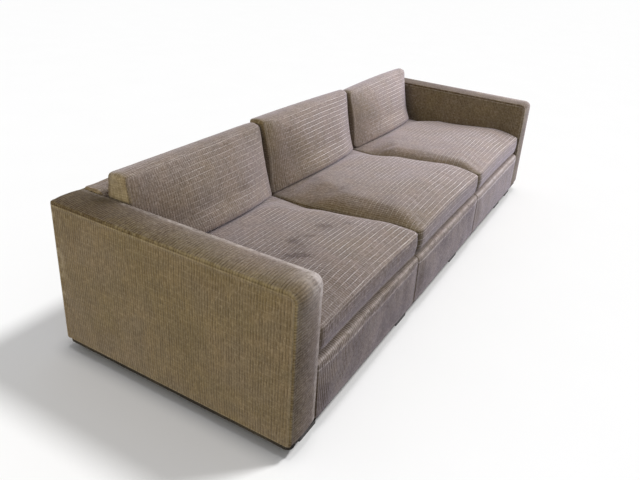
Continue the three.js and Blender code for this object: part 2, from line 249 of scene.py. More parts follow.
class Axis:
    """Places across a panel. `along` is the distance on the cloth, `place` the place in the panel's
    plane and `drop` the distance behind it. Each edge may roll back: (radius, angle). A tail goes on
    straight back beyond the high edge's roll."""

    def __init__(self, low, high, step, roll_low=(0, 0), roll_high=(0, 0), stops=(), tail=0.0):
        (r_low, turn_low), (r_high, turn_high) = roll_low, roll_high
        flat_low, flat_high = low + r_low * math.sin(turn_low), high - r_high * math.sin(turn_high)
        length = flat_high - flat_low

        def rolled(start, flat_end, radius, angles):
            turns = angles if radius else ()
            return [(start + q * radius, *on_roll(flat_end, radius, q)) for q in turns]

        rows = rolled(0.0, flat_low, r_low, -np.linspace(turn_low, 0, 5)[:-1])
        inner = sorted(s for s in stops if flat_low + 1e-4 < s < flat_high - 1e-4)
        rows += [(p - flat_low, p, 0.0) for p in spaced(flat_low, [*inner, flat_high], step)]
        rows += rolled(length, flat_high, r_high, np.linspace(0, turn_high, 5)[1:])
        for extra in spaced(0, [tail], 0.012)[1:] if tail else []:
            rows.append((length + turn_high * r_high + extra, high, r_high + extra))
        self.along, self.place, self.drop = np.array(rows).T
        self.along = self.along - self.along[0]
        self.to_edge = np.minimum(self.along, self.along[-1] - self.along)


def round_corner(a, b, centre, radii, signs):
    """Bends the square corner of a grid beyond `centre` into a quarter of an ellipse."""
    p = (a - centre[0]) / radii[0] * signs[0]
    q = (b - centre[1]) / radii[1] * signs[1]
    inside = (p > 0) & (q > 0)
    p_in, q_in = np.clip(p, 0, 1), np.clip(q, 0, 1)
    new_p = p_in * np.sqrt(1 - q_in ** 2 / 2)
    new_q = q_in * np.sqrt(1 - p_in ** 2 / 2)
    a = np.where(inside, centre[0] + signs[0] * radii[0] * new_p, a)
    b = np.where(inside, centre[1] + signs[1] * radii[1] * new_q, b)
    return a, b


def panel_grid(axis_a, axis_b, corners):
    """In-plane places, drop, distance to the nearest edge and cloth coordinates of a flat panel."""
    a, b = np.meshgrid(axis_a.place, axis_b.place, indexing="ij")
    drop = axis_a.drop[:, None] + axis_b.drop[None, :]
    edge = np.minimum(axis_a.to_edge[:, None], axis_b.to_edge[None, :])
    for centre, radii, signs in corners:
        a, b = round_corner(a, b, centre, radii, signs)
    return a, b, drop, edge, pairs(axis_a.along, axis_b.along)


def seam_relief(edge):
    """Height of the cloth beside a seam: pinched at the seam, with a low roll next to it."""
    return 0.0014 * hill(edge - 0.006, 0.003) - 0.0022 * hill(edge, 0.0022)


def seam_wear(edge):
    return hill(edge - 0.0045, 0.0024)


# ---- Arms ----

ROLL = 0.010                     # rounding where two panels meet at a corner
ROLL_ANGLE = math.pi / 4
ROLL_DROP = ROLL * (1 - math.cos(ROLL_ANGLE))
SEAM_FRONT = 0.005               # how far the front edge of an arm's band comes round its sides
PANEL_STEP = 0.012
SEAM_STOPS = (0.0015, 0.003, 0.0045, 0.006, 0.0085, 0.012)
UNDER_DECK = 0.012               # how far above the deck's underside the inner covers end


def arm_corners():
    """The centre, radii and signs of an arm panel's two rounded corners, both at its front."""
    top_centre = (FRONT + ARM_CORNER, TOP - ARM_CORNER)
    toe_centre = (FRONT + ARM_TOE, HEM + ARM_TOE)
    return [
        (top_centre, (ARM_CORNER - SEAM_FRONT, ARM_CORNER - EDGE_DROP), (-1, 1)),
        (toe_centre, (ARM_TOE - SEAM_FRONT, ARM_TOE), (-1, -1)),
    ]


def edge_stops(low, high, stops=SEAM_STOPS):
    """Extra grid lines close to both ends, where the cloth is pinched by a seam."""
    return [low + d for d in stops] + [high - d for d in reversed(stops)]


def padded_height(edge, y, z, puff, uneven, scale, seed):
    """How far an arm's panel stands out: its seam, its padding and its slight unevenness."""
    out = puff * (1 - hill(edge, 0.05)) + uneven * wander(xyz(0.0, y, z), scale, seed)
    return seam_relief(edge) + out * smooth(edge / 0.03)


def arm_outer_panel(name, side):
    y_low, y_high = FRONT + SEAM_FRONT, REAR - ROLL_DROP
    z_low, z_high = HEM, TOP - EDGE_DROP
    stops_y = [*edge_stops(y_low, y_high), FRONT + ARM_CORNER, FRONT + ARM_TOE]
    stops_z = [*edge_stops(z_low, z_high), TOP - ARM_CORNER, HEM + ARM_TOE]
    axis_y = Axis(y_low, y_high, PANEL_STEP, roll_high=(ROLL, ROLL_ANGLE), stops=stops_y)
    axis_z = Axis(z_low, z_high, PANEL_STEP, roll_low=(0.006, QUARTER), stops=stops_z)
    y, z, drop, edge, coords = panel_grid(axis_y, axis_z, arm_corners())
    x = side * (HALF_LENGTH + padded_height(edge, y, z, 0.0035, 0.0016, 5.0, 3 + side) - drop)
    wear = seam_wear(edge) * 0.3 + (arm_fray(y, z) if side < 0 else 0.0)
    # The olive tint on the arm's outer side is painted shade.
    return one_patch(name, xyz(x, y, z), coords, side > 0, wear=wear, lines=0.2, warm=0.45)


def arm_fray(y, z):
    """Pale, worn cloth down the rear edge of the left arm."""
    close = smooth((y - (REAR - 0.05)) / 0.05)
    patches = smooth(wander(xyz(0.0, y, z), 28, 9) * 1.6 + 0.1)
    return 1.1 * close * patches * smooth((z - 0.16) / 0.1)


def arm_inner_panel(name, side):
    """The arm's inner panel, and the strip of it that goes on down behind the front rail's end."""
    y_low, y_high = FRONT + SEAM_FRONT, BACK_INNER - 0.0003
    z_low, z_high = DECK_LOW[2] + UNDER_DECK, TOP - EDGE_DROP
    strip_end = y_low + 0.012
    stops_y = [*edge_stops(y_low, y_high), FRONT + ARM_CORNER, strip_end]
    stops_z = [*edge_stops(z_low, z_high), TOP - ARM_CORNER]
    axis_y = Axis(y_low, y_high, PANEL_STEP, stops=stops_y)
    axis_z = Axis(z_low, z_high, PANEL_STEP, stops=stops_z)
    y, z, _, edge, coords = panel_grid(axis_y, axis_z, arm_corners()[:1])
    x = side * (ARM_INNER - padded_height(edge, y, z, 0.002, 0.0012, 6.0, 13 + side))
    cloth = Cloth()
    # An olive tint of painted shade; the right arm's inner side, turned from the main light, is
    # darkened further with painted shade.
    cloth.patch(
        xyz(x, y, z), coords, side < 0, wear=seam_wear(edge) * 0.35, lines=0.2, warm=0.6,
        soil=0.28 if side > 0 else 0.0,
    )
    front = axis_y.place <= strip_end + 1e-6
    strip_y, levels = axis_y.place[front][:, None], spaced(HEM, [z_low], 0.02)
    cloth.patch(xyz(x[front, :1], strip_y, levels), xyz(strip_y - y_low, levels - z_low), side < 0)
    return cloth.build(name)


def arm_band_path():
    """Stations along the arm's outline: the band's outer point and its seam point, as (y, z), and
    how far the seam is set in from the side."""
    top, toe = (centre for centre, _, _ in arm_corners())
    stations = []
    for q in np.linspace(ROLL_ANGLE, 0, 5):
        y, fall = on_roll(REAR - ROLL, ROLL, q)
        stations.append(((y, TOP - fall), (y, TOP - EDGE_DROP), fall))
    for y in spaced(REAR - ROLL, [top[0]], 0.010)[1:-1]:
        stations.append(((y, TOP), (y, TOP - EDGE_DROP), 0.0))
    for q in np.linspace(QUARTER, 2 * QUARTER, 11):
        seam = on_ellipse(top, ARM_CORNER - SEAM_FRONT, ARM_CORNER - EDGE_DROP, q)
        stations.append((on_ellipse(top, ARM_CORNER, ARM_CORNER, q), seam, 0.0))
    for z in spaced(top[1], [toe[1]], 0.010)[1:-1]:
        stations.append(((FRONT, z), (FRONT + SEAM_FRONT, z), 0.0))
    for q in np.linspace(2 * QUARTER, 3 * QUARTER, 7):
        seam = on_ellipse(toe, ARM_TOE - SEAM_FRONT, ARM_TOE, q)
        inset = 0.006 * smooth(-math.sin(q) - 0.4)
        stations.append((on_ellipse(toe, ARM_TOE, ARM_TOE, q), seam, inset))
    end = (toe[0] + 0.008, HEM)
    stations.append((end, end, 0.006))
    return stations


def arm_band(name, side):
    outer, seam, inset = (np.array(part, dtype=float) for part in zip(*arm_band_path()))
    along = run_length(outer)
    normal = left_of(unit(np.gradient(outer, along, axis=0)))
    normal *= np.sign(np.sum(normal * (outer - outer.mean(0)), axis=1))[:, None]
    width = HALF_LENGTH - ARM_INNER
    edge_round, long_fall = 0.006, 0.040
    across = []
    for t in (0.0, 0.0003, 0.0012, 0.0028, 0.006, 0.010, 0.015, 0.021, 0.029, 0.040):
        corner = 1 - math.sqrt(max(0.0, 1 - (1 - min(t / edge_round, 1)) ** 2))
        across.append((t, 0.6 * corner + 0.4 * (1 - t / long_fall) ** 2))
    flat = [(t, 0.0) for t in spaced(long_fall, [width - long_fall], 0.0095)[1:-1]]
    t, fall = np.array(across + flat + [(width - t, f) for t, f in reversed(across)]).T
    cloth_t = run_length(xyz(t, fall * EDGE_DROP))
    seam_distance = np.minimum(cloth_t, cloth_t[-1] - cloth_t)
    crown_shape = np.sin(math.pi * np.clip(t / width, 0, 1)) ** 0.9
    front_top = along[np.argmin(np.abs(outer[:, 1] - (TOP - 0.012)))]
    shoulder = hill(along - front_top, 0.05)[:, None]
    crown = (0.0035 if side < 0 else 0.0010) + 0.0035 * shoulder
    x = HALF_LENGTH - t - inset[:, None] * fall * np.where(t < width / 2, 1, -1)
    place = outer[:, None] + (seam - outer)[:, None] * fall[:, None]
    seeds = xyz(x, place[..., 0], place[..., 1])
    ripple = 0.0011 * wander(seeds, 9.0, 21 + side) * smooth(seam_distance / 0.02)
    height = crown * crown_shape + ripple + seam_relief(seam_distance)
    y, z = (place + normal[:, None] * height[..., None]).transpose(2, 0, 1)
    points = xyz(side * x, y, z)
    # Paler over the front shoulder toward the inner edge, worn and with a painted highlight, and a
    # painted highlight along the inner edge itself.
    rub_and_highlight = shoulder * smooth((t / width - 0.15) / 0.6)
    inner_edge_highlight = 0.75 * hill(width - t - 0.010, 0.008)
    wear = np.clip(seam_wear(seam_distance) * 0.35 + rub_and_highlight * 0.9 + inner_edge_highlight, 0, 1.2)
    # Painted shade: olive on the side of the band turned from the main light. The band is also more
    # olive toward its rear.
    shaded_side = 1 - t / width if side < 0 else smooth((t / width - 0.05) / 0.6)
    warm = 0.85 * shaded_side ** 1.4 + 1.1 * smooth((y - 0.05) / 0.25)
    # Darker toward the rear of the top and lower down the band. On the right arm, painted shade
    # darkens the side turned from the main light and takes its paleness away.
    on_top = smooth((z - TOP + 0.03) / 0.02)
    band_dirt_and_shade = (0.12 + 0.78 * smooth((y + 0.25) / 0.60)) * on_top
    band_dirt_and_shade = band_dirt_and_shade + 0.40 * smooth((TOP - 0.06 - z) / 0.1)
    if side > 0:
        band_dirt_and_shade = band_dirt_and_shade + 0.9 * shaded_side * on_top
        wear = wear * (1 - 0.8 * shaded_side)
    band_dirt_and_shade = band_dirt_and_shade * (0.7 + 0.5 * wander(points, 8.0, 24 + side))
    coords = xyz(along[:, None], cloth_t)
    return one_patch(name, points, coords, side < 0, wear=wear, warm=warm, soil=band_dirt_and_shade, lines=0.12)


# ---- Back ----

def back_cover(name):
    """The back's inner cover: up its face, over its top and down to the rear seam."""
    centre = (BACK_INNER + ARM_CORNER, TOP - ARM_CORNER)
    start = DECK_LOW[2] + UNDER_DECK
    path = [(BACK_INNER, z) for z in spaced(start, [centre[1]], 0.014)[:-1]]
    path += [on_ellipse(centre, -ARM_CORNER, ARM_CORNER, q) for q in np.linspace(0, QUARTER, 8)]
    path += [(y, TOP) for y in spaced(centre[0], [REAR - ROLL], 0.007)[1:]]
    for q in np.linspace(0, ROLL_ANGLE, 4)[1:]:
        y, fall = on_roll(REAR - ROLL, ROLL, q)
        path.append((y, TOP - fall))
    path = np.array(path)
    along = run_length(path)
    from_rear = along[-1] - along
    normal = left_of(unit(np.gradient(path, along, axis=0)))
    low, high = -ARM_INNER + 0.0005, ARM_INNER - 0.0005
    axis_x = Axis(low, high, 0.012, (0.008, 1.3), (0.008, 1.3), edge_stops(low, high))
    x = axis_x.place[:, None]
    flat = xyz(x, path[:, 0], path[:, 1])
    on_top = smooth((path[:, 1] - (TOP - 0.09)) / 0.05)
    rumple = 0.0032 * wander(flat * (1.0, 2.2, 2.2), 9.0, 31, 3) * on_top
    rumple = rumple * smooth(axis_x.to_edge / 0.03)[:, None]
    crown = 0.004 * hill(from_rear - 0.05, 0.035)
    height = crown + rumple - axis_x.drop[:, None] + seam_relief(from_rear)
    y, z = (path + normal * height[..., None]).transpose(2, 0, 1)
    wear = 0.7 * hill(from_rear - 0.075, 0.018) * smooth(wander(flat, 14, 33) * 1.2 + 0.6)
    # Painted shade down the face behind the back cushions, fading out over the front of the top.
    shade_behind_cushions = 0.9 * (1 - smooth((path[:, 0] - BACK_INNER - 0.006) / 0.022))
    coords = xyz(axis_x.along[:, None], along)
    return one_patch(name, xyz(x, y, z), coords, wear=wear, soil=shade_behind_cushions)


def rear_panel(name):
    x_high, z_high, corner = HALF_LENGTH - ROLL_DROP, TOP - ROLL_DROP, 0.009
    roll = (ROLL, ROLL_ANGLE)
    stops_x = edge_stops(-x_high + 0.007, x_high - 0.007)
    stops_z = edge_stops(HEM + 0.006, z_high - 0.007)
    axis_x = Axis(-x_high, x_high, 0.018, roll, roll, stops_x)
    axis_z = Axis(HEM, z_high, 0.016, (0.006, QUARTER), roll, stops_z)
    corners = [
        ((s * (x_high - corner), z_high - corner), (corner, corner), (s, 1)) for s in (-1, 1)
    ]
    x, z, drop, edge, coords = panel_grid(axis_x, axis_z, corners)
    flat = xyz(x, 0.0, z)
    sag = 0.0022 * wander(flat * (1.0, 1.0, 0.6), 3.0, 41)
    drag = 0.0012 * wander(flat * (3.0, 1.0, 0.5), 6.0, 43)
    height = seam_relief(edge) + (sag + drag) * smooth(edge / 0.06) - drop
    return one_patch(name, xyz(x, REAR + height, z), coords, True, wear=seam_wear(edge) * 0.5)


# ---- Front rail ----

RAIL_FACE = FRONT + 0.0015
RAIL_TAIL = 0.036                # how far the rail's cover runs back under the cushions
TUCK_BELOW = 0.0235              # the tuck along the rail's face, below its top
RAIL_FOOT_ROLL, RAIL_TOP_ROLL = 0.012, 0.016
RAIL_SHADE = (0.36, 0.32, 0.0)    # painted shade on the rails' faces, mottled: left, middle and right


def rail_panel(name, bay):
    low, high = (bay_middle(bay) + s * (BAY / 2 - 0.0006) for s in (-1, 1))
    if bay == 0:
        low += 0.0008
    if bay == SEATS - 1:
        high -= 0.0008
    corner, side_roll = 0.022, (0.008, 1.35)
    stops_x = edge_stops(low + 0.008, high - 0.008) + [low + corner, high - corner]
    tuck_height = RAIL_TOP - TUCK_BELOW
    stops_z = [HEM + 0.024, *(tuck_height + d for d in (-0.006, -0.003, 0, 0.003, 0.006))]
    axis_x = Axis(low, high, 0.012, side_roll, side_roll, stops_x)
    rolls_z = (RAIL_FOOT_ROLL, QUARTER), (RAIL_TOP_ROLL, QUARTER)
    axis_z = Axis(HEM, RAIL_TOP, 0.011, *rolls_z, stops_z, RAIL_TAIL)
    corners = [
        ((end - s * corner, HEM + corner), (corner, corner), (s, -1))
        for s, end in ((-1, low), (1, high))
    ]
    x, z, drop, _, coords = panel_grid(axis_x, axis_z, corners)
    flat = xyz(x, drop, z)
    to_end = np.minimum(x - low, high - x)
    ends, face = smooth(to_end / 0.03), smooth((RAIL_TOP - z) / 0.01) * smooth((z - HEM) / 0.03)
    puff = 0.006 * np.sin(math.pi * np.clip((z - HEM) / (RAIL_TOP - HEM), 0, 1)) ** 0.7
    puff = puff * smooth((to_end - 0.004) / 0.06)
    crease = xyz(x + 0.7 * z, drop, z * 0.35)
    soft = 0.0016 * wander(crease, 11.0, 51 + bay) + 0.0010 * wander(flat, 26.0, 54 + bay)
    tuck_line = z - tuck_height - 0.0018 * wander(flat * (1, 0, 0), 9, 57 + bay)
    tuck = 0.0016 * hill(tuck_line, 0.0035)
    height = (puff + (soft + tuck) * ends) * face - drop
    on_top = (axis_z.drop > RAIL_TOP_ROLL) & (axis_z.place > HEM + 0.1)
    level = z + np.where(on_top, 0.0012 * wander(flat, 18.0, 61 + bay), 0.0)
    level = level - np.where(z > RAIL_TOP - 0.004, axis_x.drop[:, None] * 0.6, 0.0)
    top_edge = axis_z.along[-1] - RAIL_TAIL - 0.014
    wear = 1.1 * hill(tuck_line, 0.0032) * face + 0.9 * hill(axis_z.along - top_edge, 0.0045)
    # Painted shade over the face, and on the left rail a painted shadow at its end beside the arm,
    # below the top.
    soil = RAIL_SHADE[bay] * (1 + wander(flat, 9.0, 64 + bay)) * face
    if bay == 0:
        soil = soil + 0.8 * smooth(1 - (x - low) / 0.12) * smooth((RAIL_TOP - 0.05 - z) / 0.12)
    points = xyz(x, RAIL_FACE - height, level)
    return one_patch(name, points, coords, wear=wear, soil=soil, warm=0.1)


# ---- Materials ----

def linear(*screen):
    """A screen colour, 0 to 255, as the shader wants it."""
    values = [c / 255 for c in screen]
    return [c / 12.92 if c <= 0.04045 else ((c + 0.055) / 1.055) ** 2.4 for c in values] + [1.0]


class Nodes:
    """Short calls for building a material's node tree."""

    def __init__(self, name):
        self.material = bpy.data.materials.new(name)
        self.material.use_nodes = True
        self.tree = self.material.node_tree
        self.tree.nodes.clear()
        self.shader = self.tree.nodes.new("ShaderNodeBsdfPrincipled")
        output = self.tree.nodes.new("ShaderNodeOutputMaterial")
        self.tree.links.new(self.shader.outputs["BSDF"], output.inputs["Surface"])

    def put(self, socket, value):
        if isinstance(value, bpy.types.NodeSocket):
            self.tree.links.new(value, socket)
        else:
            socket.default_value = value

    def new(self, kind, inputs, **settings):
        """A node of a kind, with values or links on the inputs named or numbered."""
        node = self.tree.nodes.new("ShaderNode" + kind)
        for key, value in settings.items():
            setattr(node, key, value)
        for key, value in inputs.items():
            self.put(node.inputs[key], value)
        return node

    def math(self, operation, a, b=0.0, c=0.0, clamp=False):
        inputs = {0: a, 1: b, 2: c}
        return self.new("Math", inputs, operation=operation, use_clamp=clamp).outputs[0]

    def noise(self, vector, scale, detail=2.0, rough=0.5):
        inputs = {"Vector": vector, "Scale": scale, "Detail": detail, "Roughness": rough}
        return self.new("TexNoise", inputs).outputs["Fac"]

    def span(self, value, low, high, to_low=0.0, to_high=1.0):
        inputs = {0: value, 1: low, 2: high, 3: to_low, 4: to_high}
        return self.new("MapRange", inputs, interpolation_type="SMOOTHSTEP").outputs["Result"]

    def mix(self, factor, a, b):
        return self.new("Mix", {0: factor, 6: a, 7: b}, data_type="RGBA").outputs[2]

    def layer(self, colour, *layers):
        """The colour with others over it, each given as (how much of it shows, the colour)."""
        for share, over in layers:
            colour = self.mix(share, colour, over)
        return colour

    def vector(self, x, y, z=0.0):
        return self.new("CombineXYZ", {0: x, 1: y, 2: z}).outputs[0]

    def split(self, vector):
        return self.new("SeparateXYZ", {0: vector}).outputs

    def attribute(self, name):
        return self.new("Attribute", {}, attribute_name=name).outputs["Fac"]

    def place(self):
        return self.new("TexCoord", {}).outputs["Object"]

    def bump(self, height, distance, strength):
        inputs = {"Height": height, "Distance": distance, "Strength": strength}
        return self.new("Bump", inputs).outputs[0]

    def sum(self, first, *others):
        for term in others:
            first = self.math("ADD", first, term)
        return first

    def product(self, first, *others):
        for term in others:
            first = self.math("MULTIPLY", first, term)
        return first

    def finish(self, colour, roughness, more):
        """Sets or links the shader's own inputs, and gives the material."""
        for key, value in {"Base Color": colour, "Roughness": roughness, **more}.items():
            self.put(self.shader.inputs[key], value)
        return self.material


TAUPE = linear(137, 124, 117)
TAUPE_PINK = linear(142, 126, 115)
OLIVE = linear(118, 106, 77)
OLIVE_PALE = linear(128, 114, 81)
SHADE = linear(84, 71, 54)
# Pale rubbed fibre, also the colour of painted highlights.
RUBBED_AND_LIT = linear(216, 206, 198)
# Dark groove colour, laid on as painted shade in the grooves and beside the lines, and for the
# crushed ticks.
GROOVE_SHADE = linear(70, 58, 43)
# Dark brown of real stains, also laid on as painted shade.
DIRT_AND_SHADE = linear(64, 47, 27)


def ribbed_cloth(name, line_gain=1.0, rib_gain=1.0, olive=0.5, crush_gain=0.38, sheen=0.42):
    n = Nodes(name)
    place = n.place()
    across, along, _ = n.split(n.new("UVMap", {}, uv_map="cloth").outputs[0])
    waver = n.sum(n.noise(place, 9.0), -0.5)
    jitter = n.sum(n.noise(place, 70.0, 1.0), -0.5)
    along = n.sum(along, n.product(waver, 0.006), n.product(jitter, 0.0014))
    across = n.sum(across, n.product(waver, 0.004), n.product(jitter, 0.0010))

    def woven(per_metre_across, per_metre_along, detail, rough=0.5):
        """Noise drawn out along the cloth's own two directions."""
        drawn = n.vector(n.product(across, per_metre_across), n.product(along, per_metre_along))
        return n.noise(drawn, 1.0, detail, rough)

    # Ribs run along the cloth's length, one every RIB_PITCH.
    wave = n.math("COSINE", n.product(across, 2 * math.pi / RIB_PITCH))
    rib = n.math("MULTIPLY_ADD", wave, 0.5, 0.5)
    uneven = n.span(woven(60.0, 30.0, 3.0), 0.36, 0.62, 0.15, 1.0)
    groove = n.product(n.math("POWER", n.math("SUBTRACT", 1.0, rib), 3.0), uneven)

    # Thin raised lines cross the ribs, one every LINE_PITCH, each with a darker groove beside it:
    # the groove's dark colour is a painted shadow, and the line's pale crown is partly a painted
    # highlight.
    turn = n.math("FRACT", n.product(along, 1 / LINE_PITCH))
    from_line = n.product(n.math("ABSOLUTE", n.sum(turn, -0.5)), LINE_PITCH)
    line = n.span(from_line, 0.0004, 0.0019, 1.0, 0.0)
    beyond, before = n.span(from_line, 0.0014, 0.0032), n.span(from_line, 0.0032, 0.0060, 1.0, 0.0)
    beside = n.product(beyond, before)
    worn_off = n.span(n.noise(place, 16.0, 3.0, 0.6), 0.34, 0.62, 0.25, 1.0)
    line_show = n.product(n.attribute("lines"), worn_off, line_gain)

    # Short dark ticks where the pile between two lines is crushed.
    tick = n.product(n.span(woven(150.0, 54.0, 1.0), 0.50, 0.72), groove)

    fuzz = n.noise(place, 950.0, 3.0, 0.7)
    grain = n.noise(place, 260.0, 3.0, 0.65)
    crush = woven(210.0, 80.0, 4.0, 0.68)
    patch = n.span(n.noise(place, 14.0, 4.0, 0.62), 0.35, 0.65)
    cloud = n.span(n.noise(place, 5.0, 3.0, 0.6), 0.32, 0.68)
    warm, soil = n.attribute("warm"), n.attribute("soil")
    # The mix toward olive follows a random cloud and the per-point olive tint, which is painted
    # shade on faces turned from the main light.
    toward_warm = n.math("MULTIPLY_ADD", cloud, olive, n.product(warm, 0.8), clamp=True)
    # Painted shade in the grooves between the ribs, deeper where the cloth has the olive shade tint.
    in_groove = n.product(groove, n.math("MULTIPLY_ADD", warm, 1.3, 0.55), 0.36 * rib_gain)
    break_up = n.span(n.noise(place, 45.0, 4.0, 0.7), 0.32, 0.62, 0.25, 1.0)
    wear = n.math("MULTIPLY", n.attribute("wear"), break_up, clamp=True)
    soak = n.span(woven(60.0, 260.0, 4.0, 0.7), 0.36, 0.60, 0.30, 1.0)
    ragged = n.math("MULTIPLY_ADD", n.noise(place, 105.0, 4.0, 0.75), 1.9, n.sum(soil, -0.95))
    colour = n.layer(
        n.mix(toward_warm, n.mix(patch, TAUPE, TAUPE_PINK), n.mix(patch, OLIVE, OLIVE_PALE)),
        (n.span(n.noise(place, 9.0, 4.0, 0.6), 0.42, 0.72, 0.0, 0.17), SHADE),
        (n.span(woven(90.0, 9.0, 3.0, 0.6), 0.40, 0.75, 0.0, 0.34), SHADE),
        (n.span(woven(40.0, 260.0, 3.0, 0.6), 0.45, 0.80, 0.0, 0.30), SHADE),
        (in_groove, GROOVE_SHADE),
        (n.product(tick, 0.55), GROOVE_SHADE),
        # A painted shadow beside each line, then its pale crown, partly a painted highlight.
        (n.product(beside, line_show, 0.50), GROOVE_SHADE),
        (n.product(line, line_show, 0.85), RUBBED_AND_LIT),
        (n.span(crush, 0.46, 0.64, 0.0, crush_gain), SHADE),
        (n.span(crush, 0.34, 0.50, 0.45 * crush_gain, 0.0), RUBBED_AND_LIT),
        (n.span(grain, 0.38, 0.75, 0.0, 0.28), SHADE),
        (n.span(fuzz, 0.55, 0.80, 0.0, 0.26), RUBBED_AND_LIT),
        # Pale: real wear, and painted highlights along the arms' top bands and the cushions' welts.
        (n.product(wear, 0.6), RUBBED_AND_LIT),
        # Dark brown: real stains and dirt, and painted shade where the same value darkens shaded
        # faces and gaps.
        (n.product(soil, soak, 0.55), DIRT_AND_SHADE),
        (n.product(n.span(ragged, 0.16, 0.60), soak, 0.66), DIRT_AND_SHADE),
    )
    height = n.sum(
        n.product(rib, 0.55 * rib_gain),
        n.product(line, line_show, 0.8),
        n.product(beside, line_show, -0.3),
        n.product(grain, 0.35),
        n.product(fuzz, 0.22),
        n.product(tick, -0.4),
    )
    return n.finish(colour, n.span(grain, 0.2, 0.8, 0.86, 0.98), {
        "Normal": n.bump(height, 0.0011, 0.8), "Specular IOR Level": 0.15, "Sheen Weight": sheen,
        "Sheen Roughness": 0.45, "Sheen Tint": linear(208, 203, 222),
    })


WORN = dict(line_gain=0.5, rib_gain=1.7, olive=0.35, crush_gain=0.30)
CLOTH = ribbed_cloth("ribbed_cloth", **WORN)
BAND_CLOTH = ribbed_cloth("ribbed_cloth_arm_tops", sheen=0.16, **WORN)
CUSHION_CLOTH = ribbed_cloth("ribbed_cloth_cushions", rib_gain=0.80, olive=0.20)


def dress(piece, material, slot="ribbed_cloth", nodes=()):
    """Gives a piece its material and its body, and hides the CAD nodes it stands for. slot is not
    used.
    """
    piece.data.materials.clear()
    piece.data.materials.append(material)
    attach(piece, "root")
    if nodes:
        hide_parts(*nodes)


def cover(piece, material, node, *rests_on, with_pieces=(), thickness=CLOTH_THICKNESS, **dressed):
    """A stretched cover in place of its CAD node. Its flat cut is measured on its cloth coordinates,
    before it has thickness."""
    mesh = piece.data
    flat = np.empty(len(mesh.loops) * 2, dtype=np.float32)
    mesh.uv_layers["cloth"].data.foreach_get("uv", flat)
    corners = flat.reshape(-1, 4, 2).astype(float)
    first, second = corners[:, 2] - corners[:, 0], corners[:, 3] - corners[:, 1]
    area = float(np.abs(first[:, 0] * second[:, 1] - first[:, 1] * second[:, 0]).sum() / 2)
    thicken(piece, thickness)
    dress(piece, material, nodes=[node], **dressed)


# ---- Making the upholstery on the frame ----

for side_name, side in (("left", -1), ("right", 1)):
    padding = f"{side_name}_arm_padding"
    for maker, part in ((arm_outer_panel, "outer"), (arm_inner_panel, "inner")):
        panel = maker(f"{side_name}_arm_{part}_cloth", side)
        cover(panel, CLOTH, f"{side_name}_arm_{part}_panel", padding)
    panel = arm_band(f"{side_name}_arm_band_cloth", side)
    cover(panel, BAND_CLOTH, f"{side_name}_arm_band", padding)
cover(back_cover("back_inner_cloth"), CLOTH, "back_inner_cover", "back_padding")
cover(rear_panel("back_outer_cloth"), CLOTH, "back_outer_panel", "back_top_rail", "rear_rail")
for bay in range(SEATS):
    cover(rail_panel(f"rail_cloth_{bay + 1}", bay), CLOTH, f"rail_panel_{bay + 1}", "front_rail")


# ---- Black lining under the frame, with a dark hem that is a painted contact shadow ----

def lining(name):
    n = Nodes(name)
    place = n.place()
    x, y, z = n.split(place)
    turns = 2 * math.pi / 0.0016
    warp, weft = n.math("SINE", n.product(x, turns)), n.math("SINE", n.product(n.sum(y, z), turns))
    weave = n.math("MULTIPLY_ADD", n.product(warp, weft), 0.5, 0.5)
    dust = n.span(n.noise(place, 7.0, 4.0, 0.6), 0.42, 0.75)
    lint = n.span(n.noise(place, 220.0), 0.64, 0.78)
    colour = n.layer(
        n.mix(weave, linear(30, 27, 26), linear(50, 45, 43)),
        (n.product(dust, 0.45), linear(96, 88, 80)),
        (n.product(lint, 0.5), linear(150, 142, 132)),
    )
    normal = n.bump(n.sum(weave, n.product(lint, 0.6)), 0.0005, 0.7)
    more = {"Normal": normal, "Specular IOR Level": 0.2}
    return n.finish(colour, n.span(dust, 0.0, 1.0, 0.78, 0.95), more)


LINING = lining("lining_cloth")
UNDER_STEP = 0.030
LINING_INSET = 0.004            # how far the lining's edge stands in from the covers
LINING_CORNER = 0.020
# How far the hem hangs, least at the front: the dark band it makes is a painted shadow under the
# sofa.
HANG_FRONT, HANG_ELSEWHERE = 0.0035, 0.015
HANG_GROWS_FROM = -1.09         # x where the hem begins to hang further, round the left end
# The hem's section: how far in from its outer face, and how much of the hem's hang.
SHADOW_HEM_SECTION = (
    (0.0005, 0.02), (0.0, 0.35), (0.0, 0.7), (0.0008, 0.94), (0.0022, 1.0), (0.0038, 0.92),
    (0.0045, 0.6), (0.0042, 0.02), (0.0005, 0.02),
)


def under_outline():
    """Points round the lining's edge, with rounded corners, and how far along it each one lies."""
    x, depth = HALF_LENGTH - LINING_INSET - LINING_CORNER, LINING_INSET + LINING_CORNER
    y_low, y_high = FRONT + depth, REAR - depth
    points = []
    for start, centre in enumerate(((x, y_high), (-x, y_high), (-x, y_low), (x, y_low))):
        for turn in np.linspace(start, start + 1, 7) * QUARTER:
            points.append(on_ellipse(centre, LINING_CORNER, LINING_CORNER, turn))
    closed = np.array(points + points[:1])
    along = run_length(closed)
    places = np.unique(np.concatenate([along, np.arange(0, along[-1], UNDER_STEP)]).round(4))[:-1]
    return xyz(*(np.interp(places, along, closed[:, k]) for k in range(2))), places


